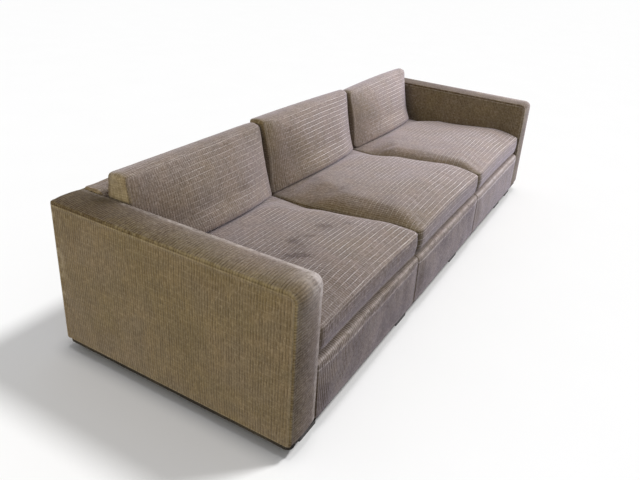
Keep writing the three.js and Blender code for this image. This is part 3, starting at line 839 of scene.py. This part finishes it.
def hang_shadow_hem(name):
    """The lining's folded edge, which hangs a little below the covers all the way round as a dark
    band: a painted contact shadow.
    """
    outline, along = under_outline()
    x, y = outline.T
    inward = left_of(heading(outline))
    at_left = smooth((HANG_GROWS_FROM - x) / 0.04)
    off_front = np.maximum(smooth((y - FRONT - 0.01) / 0.06), at_left)
    hang = lerp(HANG_FRONT, HANG_ELSEWHERE, off_front)
    hang = hang + lerp(0.0008, 0.0022, off_front) * wander(xyz(x, y, 0.0), 5.0, 141)
    rows = []
    for inset, share in SHADOW_HEM_SECTION:
        side = outline + inward * inset
        rows.append(xyz(side[:, 0], side[:, 1], HEM + 0.0002 - hang * share))
    points = np.stack(rows, axis=1)
    points = np.concatenate([points, points[:1]])
    coords = xyz(np.append(along, 0)[:, None], np.arange(len(rows)) * 0.004)
    piece = one_patch(name, points, coords)
    fix_normals(piece)
    dress(piece, LINING, slot="lining_cloth")
    return piece


def flat_sheet(name, low, high, level, sag, seed):
    """A lining sheet between low and high, hanging by up to sag between its tacked edges."""
    x, y = np.meshgrid(*(spaced(low[k], [high[k]], UNDER_STEP) for k in range(2)), indexing="ij")
    edge = np.minimum(np.minimum(x - low[0], high[0] - x), np.minimum(y - low[1], high[1] - y))
    loose = 0.6 + 0.5 * wander(xyz(x * 2.0, y, 0.0), 3.0, seed, 3)
    loose = smooth(edge / 0.08) * loose
    z = level - sag * loose * np.sin(math.pi * (y - low[1]) / (high[1] - low[1]))
    return one_patch(name, xyz(x, y, z), xyz(x - low[0], y - low[1]), soil=0.3 * loose)


# A dark hem round the base as a painted contact shadow.
shadow_hem = hang_shadow_hem("dust_cover_shadow_hem")
sheet = flat_sheet("dust_cover_cloth", DUST_LOW, DUST_HIGH, DUST_HIGH[2], 0.010, 151)
cover(
    sheet, LINING, "dust_cover", "front_rail", "rear_rail", with_pieces=[shadow_hem],
    thickness=LINING_THICKNESS, slot="lining_cloth",
)
sheet = flat_sheet("seat_deck_cloth", DECK_LOW, DECK_HIGH, DECK_TOP, 0.003, 153)
cover(sheet, CLOTH, "seat_deck", "seat_spring_1", "seat_spring_9", thickness=LINING_THICKNESS)


# ---- The frame inside ----

def wood(name, axis):
    """Sawn pale wood with its grain along one axis: 0, 1 or 2."""
    n = Nodes(name)
    place = n.split(n.place())
    stretch = [0.8 if k == axis else 14.0 for k in range(3)]
    coarse = n.vector(*(n.product(p, k) for p, k in zip(place, stretch)))
    fine = n.vector(*(n.product(p, k * 9) for p, k in zip(place, stretch)))
    rings = n.noise(coarse, 2.6, 5.0, 0.62)
    fibre = n.noise(fine, 3.0, 3.0, 0.6)
    colour = n.layer(
        n.mix(n.span(rings, 0.35, 0.65), linear(196, 158, 108), linear(158, 118, 74)),
        (n.span(fibre, 0.45, 0.75, 0.0, 0.4), linear(116, 82, 50)),
        (n.product(n.span(n.noise(coarse, 0.9), 0.68, 0.76), 0.7), linear(84, 56, 34)),
    )
    normal = n.bump(n.sum(n.product(rings, 0.5), fibre), 0.0006, 0.6)
    return n.finish(colour, n.span(fibre, 0.3, 0.7, 0.62, 0.85), {"Normal": normal})


def spring_steel(name):
    n = Nodes(name)
    rust = n.span(n.noise(n.place(), 28.0, 4.0, 0.65), 0.50, 0.68)
    drawn = n.noise(n.place(), 420.0)
    colour = n.mix(drawn, linear(112, 112, 114), linear(146, 146, 148))
    return n.finish(n.mix(rust, colour, linear(112, 66, 38)), n.span(rust, 0.0, 1.0, 0.38, 0.85), {
        "Metallic": n.span(rust, 0.0, 1.0, 0.95, 0.15),
        "Normal": n.bump(n.sum(rust, n.product(drawn, 0.3)), 0.0003, 0.6),
    })


def foam(name):
    n = Nodes(name)
    cells = n.noise(n.place(), 900.0, 2.0, 0.7)
    yellowed = n.noise(n.place(), 9.0, 3.0, 0.6)
    colour = n.mix(n.span(yellowed, 0.35, 0.65), linear(226, 212, 158), linear(206, 182, 118))
    colour = n.mix(n.span(cells, 0.40, 0.62, 0.55, 0.0), colour, linear(138, 112, 62))
    normal = n.bump(cells, 0.0009, 0.9)
    return n.finish(colour, n.span(cells, 0.3, 0.7, 0.88, 0.98), {"Normal": normal})


def foot_black(name):
    """Black moulded feet: fine pebbling, pale scuffs and a dusty lower edge."""
    n = Nodes(name)
    place = n.place()
    pebble = n.noise(place, 700.0, 2.0, 0.6)
    scuff = n.span(n.noise(place, 65.0, 5.0, 0.72), 0.57, 0.70)
    low_down = n.span(n.split(place)[2], 0.0, 0.020, 1.0, 0.0)
    dust = n.product(low_down, n.span(n.noise(place, 40.0, 3.0), 0.35, 0.65, 0.4, 1.0))
    colour = n.layer(
        n.mix(pebble, linear(18, 17, 17), linear(34, 32, 32)),
        (n.product(scuff, 0.55), linear(104, 100, 96)),
        (n.product(dust, 0.30), linear(120, 112, 102)),
    )
    normal = n.bump(n.sum(n.product(pebble, 0.5), n.product(scuff, -0.8)), 0.0004, 0.7)
    return n.finish(colour, n.span(n.sum(scuff, dust), 0.0, 1.0, 0.46, 0.86), {"Normal": normal})


WOODS = [wood(f"frame_wood_{axis}", k) for k, axis in enumerate("xyz")]
INNER_FINISHES = (
    ("foot", foot_black("foot_black")), ("spring", spring_steel("spring_steel")),
    ("padding", foam("foam")), ("foam", foam("foam_cushion")),
)


def finish_node(name):
    """The detailed finish of a CAD node that is shown as it is."""
    for word, material in INNER_FINISHES:
        if word in name:
            return material
    low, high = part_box(name)
    return WOODS[int(np.argmax(np.subtract(high, low)))]


for name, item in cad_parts.items():
    for slot in item.material_slots:
        slot.material = finish_node(name)


# ---- Stuffed pieces ----

STRIP_ROWS = 5                  # rows of faces across a cushion's boxing
WELT_RADIUS, WELT_SIDES = 0.0017, 8


def border_of(rows, cols):
    """Grid places round the border of a rows x cols grid, counter-clockwise seen from its front."""
    path = [(i, 0) for i in range(rows)]
    path += [(rows - 1, j) for j in range(1, cols)]
    path += [(i, cols - 1) for i in range(rows - 2, -1, -1)]
    path += [(0, j) for j in range(cols - 2, 0, -1)]
    return tuple(np.array(path).T)


def boxed_body(name, face, back, bulge, fields):
    """A closed cushion: a face, a back of the same grid, and a boxing strip between their borders.
    bulge gives how far the strip stands out, from the points midway across it. fields gives the
    wear and painted highlights, dirt and painted shade, lines, olive tint and painted shade, pin and
    give for the face, the strip and the back."""
    cloth = Cloth()
    rows, cols = face.shape[:2]
    coords = pairs(run_length(face[:, cols // 2]), run_length(face[rows // 2]))
    cloth.patch(face, coords, **fields["face"])
    cloth.patch(back, coords, flip=True, **fields["back"])
    ring = border_of(rows, cols)
    loops = face[ring], back[ring]
    middle = (loops[0] + loops[1]) / 2
    through = loops[0] - loops[1]
    outward = unit(np.cross(through, heading(middle)))
    outward *= np.sign(np.sum(outward * (middle - middle.mean(0)), axis=1).mean())
    t = np.linspace(0, 1, STRIP_ROWS + 1)[:, None]
    strip = lerp(loops[0], loops[1], t[..., None])
    strip = strip + outward * (np.sin(math.pi * t) * bulge(middle))[..., None]
    strip = np.concatenate([strip, strip[:, :1]], axis=1)
    around = run_length(np.concatenate([loops[0], loops[0][:1]]))
    strip_coords = xyz(around, t * np.linalg.norm(through, axis=1).mean())
    cloth.patch(strip, strip_coords, flip=True, **fields["strip"](strip, t))
    piece = cloth.build(name)
    fix_normals(piece)
    return piece, loops


def at_seams(t):
    """1 on the two edges of a boxing strip."""
    return np.where((t == 0) | (t == 1), 1.0, 0.0)


def left_of_place(strip, x):
    return smooth((x - strip[..., 0]) / 0.02)


def nearest_points(mesh, places):
    tree = KDTree(len(mesh.vertices))
    for vertex in mesh.vertices:
        tree.insert(vertex.co, vertex.index)
    tree.balance()
    return [tree.find(Vector(p))[1] for p in places]


FILL_FRAMES = 20
FILL = dict(
    quality=6, mass=0.3, tension_stiffness=12, compression_stiffness=12, shear_stiffness=5,
    bending_stiffness=0.4, air_damping=2.0, use_pressure=True, uniform_pressure_force=4.0,
    shrink_min=-0.003, vertex_group_mass="held",
)


def swell(piece):
    """Fills the piece like a stuffed cover: a cloth simulation with pressure, held where pin is 1.
    No point moves further than its give, in metres."""
    start = positions(piece.data)
    held = values_of(piece.data, "pin").round(2)
    group = piece.vertex_groups.new(name="held")
    for level in np.unique(held[held > 0]):
        group.add(np.nonzero(held == level)[0].tolist(), float(level), "REPLACE")
    cloth = piece.modifiers.new("fill", "CLOTH")
    for key, value in FILL.items():
        setattr(cloth.settings, key, value)
    cloth.settings.effector_weights.gravity = 0
    cloth.collision_settings.use_collision = False
    cloth.point_cache.frame_start, cloth.point_cache.frame_end = 1, FILL_FRAMES
    scene = bpy.context.scene
    for number in range(1, FILL_FRAMES + 1):
        scene.frame_set(number)
    filled = positions(piece.evaluated_get(bpy.context.evaluated_depsgraph_get()).data)
    piece.modifiers.remove(cloth)
    piece.vertex_groups.clear()
    scene.frame_set(1)
    move = filled - start
    size = np.linalg.norm(move, axis=1)
    move *= np.minimum(1, values_of(piece.data, "give") / np.maximum(size, 1e-9))[:, None]
    set_positions(piece.data, start + move)


def subdivide(piece):
    """One applied subdivision."""
    modifier = piece.modifiers.new("smooth", "SUBSURF")
    modifier.levels = modifier.render_levels = 1
    shaped = piece.evaluated_get(bpy.context.evaluated_depsgraph_get())
    mesh = bpy.data.meshes.new_from_object(shaped)
    piece.modifiers.clear()
    piece.data = mesh


def welt(name, path, seed, wear, warm):
    """The slightly uneven rolled seam of cloth along a loop of points."""
    tangent = heading(path)
    out = path - path.mean(0)
    out = unit(out - np.sum(out * tangent, axis=1)[:, None] * tangent)
    side = np.cross(tangent, out)
    around = np.linspace(0, 2 * math.pi, WELT_SIDES + 1)
    size = WELT_RADIUS * (1 + 0.25 * wander(path, 60, seed, 1))
    ring = out[:, None] * np.cos(around)[:, None] + side[:, None] * np.sin(around)[:, None]
    points = path[:, None] + ring * size[:, None, None]
    open_ended = points, wear[:, None], warm[:, None]
    points, wear, warm = (np.concatenate([v, v[:1]]) for v in open_ended)
    coords = xyz(run_length(points[:, 0])[:, None], around * WELT_RADIUS)
    piece = one_patch(name, points, coords, wear=wear, warm=warm)
    fix_normals(piece)
    return piece


def spots(x, y, places):
    """Soft round or oval marks: (x, y, length, width, turn in degrees, strength)."""
    total = np.zeros_like(x)
    for px, py, length, width, turn, strength in places:
        c, s = math.cos(math.radians(turn)), math.sin(math.radians(turn))
        a = ((x - px) * c + (y - py) * s) / length
        b = (-(x - px) * s + (y - py) * c) / width
        total = total + strength * hill(np.hypot(a, b), 1.0)
    return total


CUSHION_STOPS = (0.005, 0.012, 0.022)
CUSHION_STEP = 0.0135


def cushion_grid(half, low, high, radii):
    """A cushion's grid from -half to half and from low to high: its square places, the same with
    rounded corners, and the distance to its edge. radii: left low and high, right low and high."""
    ends = (-half, half), (low, high)
    lines = [spaced(a, [*edge_stops(a, b, CUSHION_STOPS), b], CUSHION_STEP) for a, b in ends]
    a, b = square = np.meshgrid(*lines, indexing="ij")
    edge = np.minimum(half - np.abs(a), np.minimum(b - low, high - b))
    for sa in (-1, 1):
        for sb, end in ((-1, low), (1, high)):
            r = radii[sa > 0][sb > 0]
            a, b = round_corner(a, b, (sa * (half - r), end - sb * r), (r, r), (sa, sb))
    return square, (a, b), edge


# ---- Seat cushions ----

SEAT_EDGE_FRONT, SEAT_EDGE_REAR = 0.333, 0.300     # heights of the upper seam
SEAT_UNDER_SEAM = 0.2565
PRESSED_FROM = 0.145            # y from which the back cushion holds the seat down
UNDER_BACK_FROM = 0.10          # y where the middle of the seat begins to dip toward there
SEAT_HALF = (SEAT_HIGH[0] - SEAT_LOW[0]) / 2
SEAT_RADII = ((0.034, 0.034), (0.034, 0.034))
SEAT_BULGE = 0.0045
SEAT_STAINS = (
    [
        (-0.775, -0.190, 0.044, 0.014, -60, 0.85), (-0.700, -0.118, 0.017, 0.014, 0, 0.7),
        (-0.641, -0.150, 0.030, 0.010, -60, 0.45), (-0.548, -0.140, 0.030, 0.012, -60, 0.6),
        (-0.485, -0.197, 0.016, 0.012, 0, 0.5), (-0.722, -0.150, 0.070, 0.040, 20, 0.34),
        (-0.560, -0.150, 0.080, 0.040, -30, 0.30), (-0.60, 0.02, 0.11, 0.05, 30, 0.14),
    ],
    [(-0.223, -0.029, 0.018, 0.013, 0, 0.6), (-0.26, 0.06, 0.05, 0.02, 10, 0.18)],
    [(0.62, 0.05, 0.06, 0.03, 20, 0.15)],
)


def press(u):
    """Height of the seat's surface under the back cushion; u runs from -1 to 1 along the seat."""
    return 0.302 + 0.043 * (1 - np.abs(u) ** 2.4)


# What sets the seat cushions apart, left to right: how far the waist is drawn in at both ends, how
# wide the shoulders are, how much fuller it is, how far and how softly its ends are pressed down
# before the back cushion, how clear the lines are on its boxing and how much painted shade darkens
# it.
SEAT_KINDS = (
    dict(pull=(0.006, 0.016), shoulder=0.22, fuller=0.0, ends=(0.17, 0.12), lines=0.30, soil=0.42),
    dict(pull=(0.012, 0.018), shoulder=0.20, fuller=0.009, ends=(0.15, 0.11), lines=0.55, soil=0.20),
    dict(pull=(0.012, 0.014), shoulder=0.13, fuller=0.005, ends=(0.07, 0.05), lines=0.65, soil=0.0),
)


def seat_cushion(bay):
    own, middle = SEAT_KINDS[bay], bay_middle(bay)
    front, rear = SEAT_LOW[1] - 0.002, SEAT_HIGH[1] - 0.004
    (u, v), (x, y), edge = cushion_grid(SEAT_HALF, front, rear, SEAT_RADII)
    u, v = u / SEAT_HALF, (v - front) / (rear - front)
    waist = np.sin(math.pi * smooth((v - 0.04) / 0.96)) ** 1.2
    x = x - np.sign(u) * np.where(u > 0, own["pull"][1], own["pull"][0]) * np.abs(u) ** 3 * waist
    y = y + 0.004 * (1 - u ** 2) * (1 - v) ** 3
    back_share = smooth((y - front) / (PRESSED_FROM - front))
    seam_z = lerp(SEAT_EDGE_FRONT + 0.004 * (1 - u ** 2), SEAT_EDGE_REAR, back_share)
    seam_z = seam_z - 0.008 * waist * u ** 2 * (1 - back_share * 0.5)
    across = lerp(1 - u ** 2, fall_away((1 - np.abs(u)) / own["shoulder"], 3.0), 0.78)
    rise = fall_away((y - front) / 0.16, 2.6)
    crown = (lerp(0.034, 0.044, back_share) + own["fuller"]) * across * rise
    lump = 0.004 * wander(xyz(x, y, 0.0), 3.4, 71 + bay) * smooth(edge / 0.08)
    open_top = seam_z + crown + lump
    pressed = press(u) - 0.010 * smooth((y - rear + 0.06) / 0.06)
    outer = smooth((np.abs(u) - 0.45) / 0.45)
    reach, softly = (share * outer for share in own["ends"])
    under_back = smooth((y - UNDER_BACK_FROM + reach) / (0.06 + softly))
    top = np.where(edge < 1e-6, seam_z, lerp(open_top, np.minimum(pressed, open_top), under_back))
    face = xyz(x + middle, y, top)
    rest = DECK_TOP + 0.0006
    lip = (SEAT_UNDER_SEAM - rest) * (1 - smooth(edge / 0.045)) ** 1.5
    bottom = xyz(x * 0.996 + middle, y * 0.996, rest + lip)
    fade = 1.15 - 0.75 * smooth((0.35 - u) / 1.3)
    fade = fade - 0.85 * smooth((v - 0.22 - 0.22 * (u + 1)) / 0.45)
    fade = np.clip(fade, 0.08, 1.0) * (0.75 + 0.5 * smooth(wander(face, 6.0, 74 + bay) + 0.5))
    # Painted shade: olive on the seat's left side, turned from the main light. The seams of the left
    # half are darker.
    shaded_left_side = smooth((np.abs(u) - 0.93) / 0.07) * (u < 0)
    edge_soil = 0.25 * smooth((0.012 - edge) / 0.012) * (u < 0)
    fields = {
        "face": dict(
            wear=seam_wear(edge) * 0.25, lines=fade, give=0.003 + 0.003 * smooth(edge / 0.12),
            soil=spots(x + middle, y, SEAT_STAINS[bay]) + edge_soil,
            warm=0.05 + 0.5 * shaded_left_side + 0.25 * smooth(wander(face, 4.0, 77 + bay)),
            pin=np.where((edge < 1e-6) | (y > PRESSED_FROM), 1.0, 0.0),
        ),
        "back": dict(pin=1.0, warm=0.5, give=0.002),
        # The boxing: olive toward its left end, and darkened overall and toward its lower seam, all
        # painted shade.
        "strip": lambda strip, t: dict(
            lines=own["lines"], give=0.004, pin=at_seams(t),
            warm=0.05 + 0.6 * left_of_place(strip, middle - SEAT_HALF * 0.9),
            soil=own["soil"] + 0.25 * smooth(t - 0.4),
        ),
    }
    return boxed_body(f"seat_cushion_{bay + 1}", face, bottom, lambda points: SEAT_BULGE, fields)


def finish_cushion(piece, loops, number, kind, seed, nodes, fill):
    """Fills and dresses a cushion, and lays a welt along each of its two seams."""
    picked = [nearest_points(piece.data, loop) for loop in loops]
    swell(piece)
    subdivide(piece)
    places = positions(piece.data)
    dress(piece, CUSHION_CLOTH, nodes=nodes)
    for indices, edge, strength in zip(picked, ("face", "back"), (1.0, 0.4)):
        path = places[indices]
        # The welts are paler away from the cushion's left end, with wear and a painted highlight,
        # and olive toward it, with painted shade.
        lit = smooth((path[:, 0] - places[:, 0].min()) / 0.05)
        welt_wear_and_highlight = (0.15 + 0.45 * lit) * (0.6 + 0.5 * wander(path, 12, seed)) * strength
        name = f"{kind}_cushion_{number}_seam_{edge}"
        dress(welt(name, path, seed, welt_wear_and_highlight, 0.75 - 0.6 * lit), CUSHION_CLOTH)
        seed += 1


# ---- Back cushions ----

# Where each back cushion's front seam lies: y at (top left, top right, foot left, foot right) and
# z at (top left, top middle, top right), then y of its rear edge at the top left and right.
BACK_SHAPES = (
    ((0.243, 0.272, 0.222, 0.207), (0.583, 0.582, 0.581), (0.318, 0.322)),
    ((0.255, 0.277, 0.212, 0.222), (0.588, 0.588, 0.582), (0.330, 0.322)),
    ((0.262, 0.280, 0.214, 0.230), (0.574, 0.583, 0.581), (0.322, 0.332)),
)
BACK_HALF = [SEAT_HALF - inset for inset in (0.005, 0.001, 0.005)]
BACK_REAR_FOOT = 0.3335         # y of the rear edge at the foot
BACK_FOOT_HELD = 0.37           # height below which the boxing stays still
# Corner radii of each: left foot and top, right foot and top.
BACK_RADII = (
    ((0.012, 0.012), (0.024, 0.024)),
    ((0.012, 0.006), (0.024, 0.024)),
    ((0.024, 0.024), (0.024, 0.024)),
)
# What else sets them apart: how far the left end falls away and how much painted shade it gets, how
# clear the lines are on the face and round the boxing, how worn the boxing's left end is and how
# olive with painted shade.
BACK_KINDS = (
    dict(fall=0.004, left_shade=0.2, lines=0.45, strip_lines=0.5, end_wear=0.40, end_warm=0.42),
    dict(fall=0.010, left_shade=0.8, lines=1.0, strip_lines=0.1, end_wear=0.0, end_warm=0.5),
    dict(fall=0.006, left_shade=0.4, lines=0.8, strip_lines=0.1, end_wear=0.0, end_warm=0.5),
)
BACK_STAINS = (
    [
        (-0.84, 0.53, 0.006, 0.006, 0, 0.7), (-0.57, 0.565, 0.014, 0.008, 0, 0.45),
        (-0.66, 0.41, 0.014, 0.008, 20, 0.45), (-0.567, 0.42, 0.02, 0.01, 10, 0.4),
    ],
    [(-0.216, 0.534, 0.028, 0.009, 5, 0.4)],
    [],
)


def back_bulge(points):
    """How far a back cushion's boxing stands out: most along its top, not at all at its foot."""
    return np.where(points[:, 2] > 0.56, 0.008, np.where(points[:, 2] < BACK_FOOT_HELD, 0.0, 0.003))


def back_cushion(bay):
    own, middle = BACK_KINDS[bay], bay_middle(bay)
    seam_y, seam_z, rear_y = BACK_SHAPES[bay]
    half, height = BACK_HALF[bay], seam_z[1] - 0.31
    (u, v), (x, b), edge = cushion_grid(half, 0, height, BACK_RADII[bay])
    u, v, a, b = u / half, v / height, x / half, b / height
    across = (a + 1) / 2
    foot = press(a) + 0.0015
    head = lerp(seam_z[0], seam_z[2], across)
    head = head + (seam_z[1] - (seam_z[0] + seam_z[2]) / 2) * (1 - a ** 2)
    z = lerp(foot, head, b)
    y = lerp(lerp(seam_y[2], seam_y[3], across), lerp(seam_y[0], seam_y[1], across), b ** 1.15)
    waist = np.sin(math.pi * np.clip(b, 0, 1)) ** 1.3
    x = x - np.sign(a) * (0.012 if bay else 0.008) * np.abs(a) ** 3 * waist
    belly = fall_away(v / 0.42, 2.2) * (1 - np.clip((v - 0.42) / 0.58, 0, 1) ** 2.4)
    belly = belly * (1 - np.abs(u) ** 2.6)
    flat_end = 1 - np.abs(u) ** 2.2
    belly = belly + 0.45 * flat_end * np.clip(1 - v / 0.3, 0, 1) * np.clip(v / 0.02, 0, 1)
    crown = lerp(0.050, 0.030, smooth(v)) * belly
    left_fall = own["fall"] * (1 - smooth((1 + u) * half / 0.055)) ** 1.3
    right_fall = 0.006 * (1 - smooth((1 - u) * half / 0.04))
    crown = crown - (left_fall + right_fall) * smooth(v / 0.08)
    lump = 0.0025 * wander(xyz(x, z, 0.0), 4.2, 81 + bay) * smooth(edge / 0.07)
    foot_pull = 0.055 * flat_end * (1 - smooth(v / 0.30))
    face = xyz(x + middle, y - crown - foot_pull - lump, z)
    rear_top = lerp(rear_y[0], rear_y[1], across)
    rear_line = lerp(BACK_REAR_FOOT, rear_top, smooth((b - 0.55) / 0.45) ** 1.4)
    back = xyz(x * 0.995 + middle, rear_line, lerp(foot + 0.001, head - 0.004, b))
    fade = np.clip(1.15 * smooth((a + 1.05) / 1.1) * smooth((v + 0.12) / 0.42), 0.1, 1)
    # Painted shade: olive on the face's left end, turned from the main light.
    shaded_left_end = smooth((-0.80 - a) / 0.2) * own["left_shade"]
    left_end = middle - half * 0.93
    fields = {
        "face": dict(
            wear=seam_wear(edge) * 0.2, lines=fade * own["lines"],
            # Real stains, and painted shade along the foot of the face where it meets the seat.
            soil=spots(x + middle, z, BACK_STAINS[bay]) + 0.3 * (1 - smooth(v / 0.05)),
            warm=0.04 + 0.5 * shaded_left_end + 0.22 * smooth(wander(face, 4.0, 87 + bay)),
            pin=np.where((edge < 1e-6) | (v < 0.04), 1.0, 0.0),
            give=(0.008 - 0.004 * smooth((v - 0.6) / 0.4)) * smooth(edge / 0.05),
        ),
        "back": dict(pin=1.0, warm=0.2, lines=0.3, give=0.002),
        "strip": lambda strip, t: dict(
            lines=own["strip_lines"], give=0.003,
            wear=own["end_wear"] * left_of_place(strip, left_end),
            # The boxing's left end is olive with painted shade.
            warm=0.1 + own["end_warm"] * left_of_place(strip, left_end),
            pin=np.maximum(at_seams(t), np.where(strip[..., 2] < BACK_FOOT_HELD, 1.0, 0.0)),
        ),
    }
    return boxed_body(f"back_cushion_{bay + 1}_cover", face, back, back_bulge, fields)


for bay in range(SEATS):
    number = bay + 1
    insides = [f"seat_cushion_case_{number}", f"seat_cushion_foam_{number}"]
    finish_cushion(*seat_cushion(bay), number, "seat", 91 + 2 * bay, insides, 0.75)
    insides = [f"back_cushion_{number}"]
    finish_cushion(*back_cushion(bay), number, "back", 101 + 2 * bay, insides, 0.8)


# ---- Camera, floor and light ----

def aim(item, direction, roll=0.0):
    forward = Vector(direction).normalized()
    right = forward.cross(Vector((0, 0, 1))).normalized()
    up = right.cross(forward)
    turned_right = right * math.cos(roll) + up * math.sin(roll)
    turned_up = up * math.cos(roll) - right * math.sin(roll)
    item.matrix_world = Matrix.Translation(item.location) @ Matrix(
        (turned_right, turned_up, -forward)
    ).transposed().to_4x4()


YAW, PITCH, CAMERA_ROLL = (math.radians(angle) for angle in (63.9, 23.204, 4.996))
CAMERA_PLACE = (-2.1259, -1.0287, 1.2756)
SENSOR_WIDTH, FOCAL_LENGTH = 36, 33.874
LOOK = (math.sin(YAW) * math.cos(PITCH), math.cos(YAW) * math.cos(PITCH), -math.sin(PITCH))
camera = bpy.data.objects.new("camera", bpy.data.cameras.new("camera"))
bpy.context.scene.collection.objects.link(camera)
camera.location = CAMERA_PLACE
camera.data.sensor_width = SENSOR_WIDTH
camera.data.lens = FOCAL_LENGTH
camera.data.shift_x, camera.data.shift_y = -0.0589, -0.0779
camera.data.clip_start, camera.data.clip_end = 0.05, 60
aim(camera, LOOK, CAMERA_ROLL)
bpy.context.scene.camera = camera

n = Nodes("studio_floor")
floor_tone = n.mix(n.noise(n.place(), 3.0), (0.93,) * 3 + (1,), (0.95,) * 3 + (1,))
floor_mesh = bpy.data.meshes.new("studio_floor")
FLOOR_REACH = 30.0
floor_signs = (-1, -1), (1, -1), (1, 1), (-1, 1)
floor_corners = [(x * FLOOR_REACH, y * FLOOR_REACH, 0) for x, y in floor_signs]
floor_mesh.from_pydata(floor_corners, [], [(0, 1, 2, 3)])
floor_mesh.materials.append(n.finish(floor_tone, 0.9, {}))
floor = bpy.data.objects.new("studio_floor", floor_mesh)
bpy.context.scene.collection.objects.link(floor)
floor.visible_diffuse = False
floor.visible_shadow = False


def add_light(name, kind, energy, colour=(1, 1, 1)):
    light = bpy.data.lights.new(name, kind)
    light.energy = energy
    light.color = colour
    item = bpy.data.objects.new(name, light)
    bpy.context.scene.collection.objects.link(item)
    return item


def area_light(name, place, target, size, energy, colour, spread=180):
    item = add_light(name, "AREA", energy, colour)
    item.data.shape = "DISK"
    item.data.size = size
    item.data.spread = math.radians(spread)
    item.location = place
    aim(item, Vector(target) - Vector(place))
    return item


def far_light(name, toward, softness, energy):
    item = add_light(name, "SUN", energy)
    item.data.angle = math.radians(softness)
    aim(item, -Vector(toward))
    return item


def only_floor(item, state):
    """INCLUDE: the light falls on nothing but the floor. EXCLUDE: it falls on everything else."""
    group = bpy.data.collections.new(item.name + "_on")
    group.objects.link(floor)
    item.light_linking.receiver_collection = group
    group.collection_objects[0].light_linking.link_state = state


# Name, place, target, disk size, power, colour and, for a narrow beam, its spread in degrees.
ROOM_LIGHTS = (
    ("window", (3.6, -1.2, 2.5), (0.2, -0.1, 0.3), 6.0, 440, (0.87, 0.89, 1.0)),
    ("front_fill", (3.0, -3.0, 3.0), (0.2, -0.1, 0.3), 3.2, 50, (1.0, 0.93, 0.80)),
    ("rear_fill", (0.4, 4.4, 0.9), (0.2, 0.3, 0.3), 3.0, 44, (1.0, 0.95, 0.88)),
    ("warm_fill", (-4.2, 0.2, 1.7), (-0.6, 0.0, 0.3), 2.4, 66, (1.0, 0.86, 0.40)),
    ("far_window", (0.55, -1.1, 2.3), (0.85, 0.05, 0.35), 0.9, 3.2, (0.76, 0.79, 1.0), 62),
)
# Name, the way it comes from, softness in degrees and strength.
FLOOR_LIGHTS = (
    ("floor_light", (0.50, -0.42, 1.0), 10, 1.85),
    ("floor_top_light", (0.02, -0.02, 1.0), 10, 0.72),
)
for room_light in ROOM_LIGHTS:
    only_floor(area_light(*room_light), "EXCLUDE")
for floor_light in FLOOR_LIGHTS:
    only_floor(far_light(*floor_light), "INCLUDE")
world = bpy.data.worlds.new("studio")
world.use_nodes = True
sky = world.node_tree.nodes["Background"].inputs
sky["Color"].default_value = (1.0, 1.0, 1.0, 1)
sky["Strength"].default_value = 0.35
bpy.context.scene.world = world
bpy.context.scene.view_settings.view_transform = "Standard"
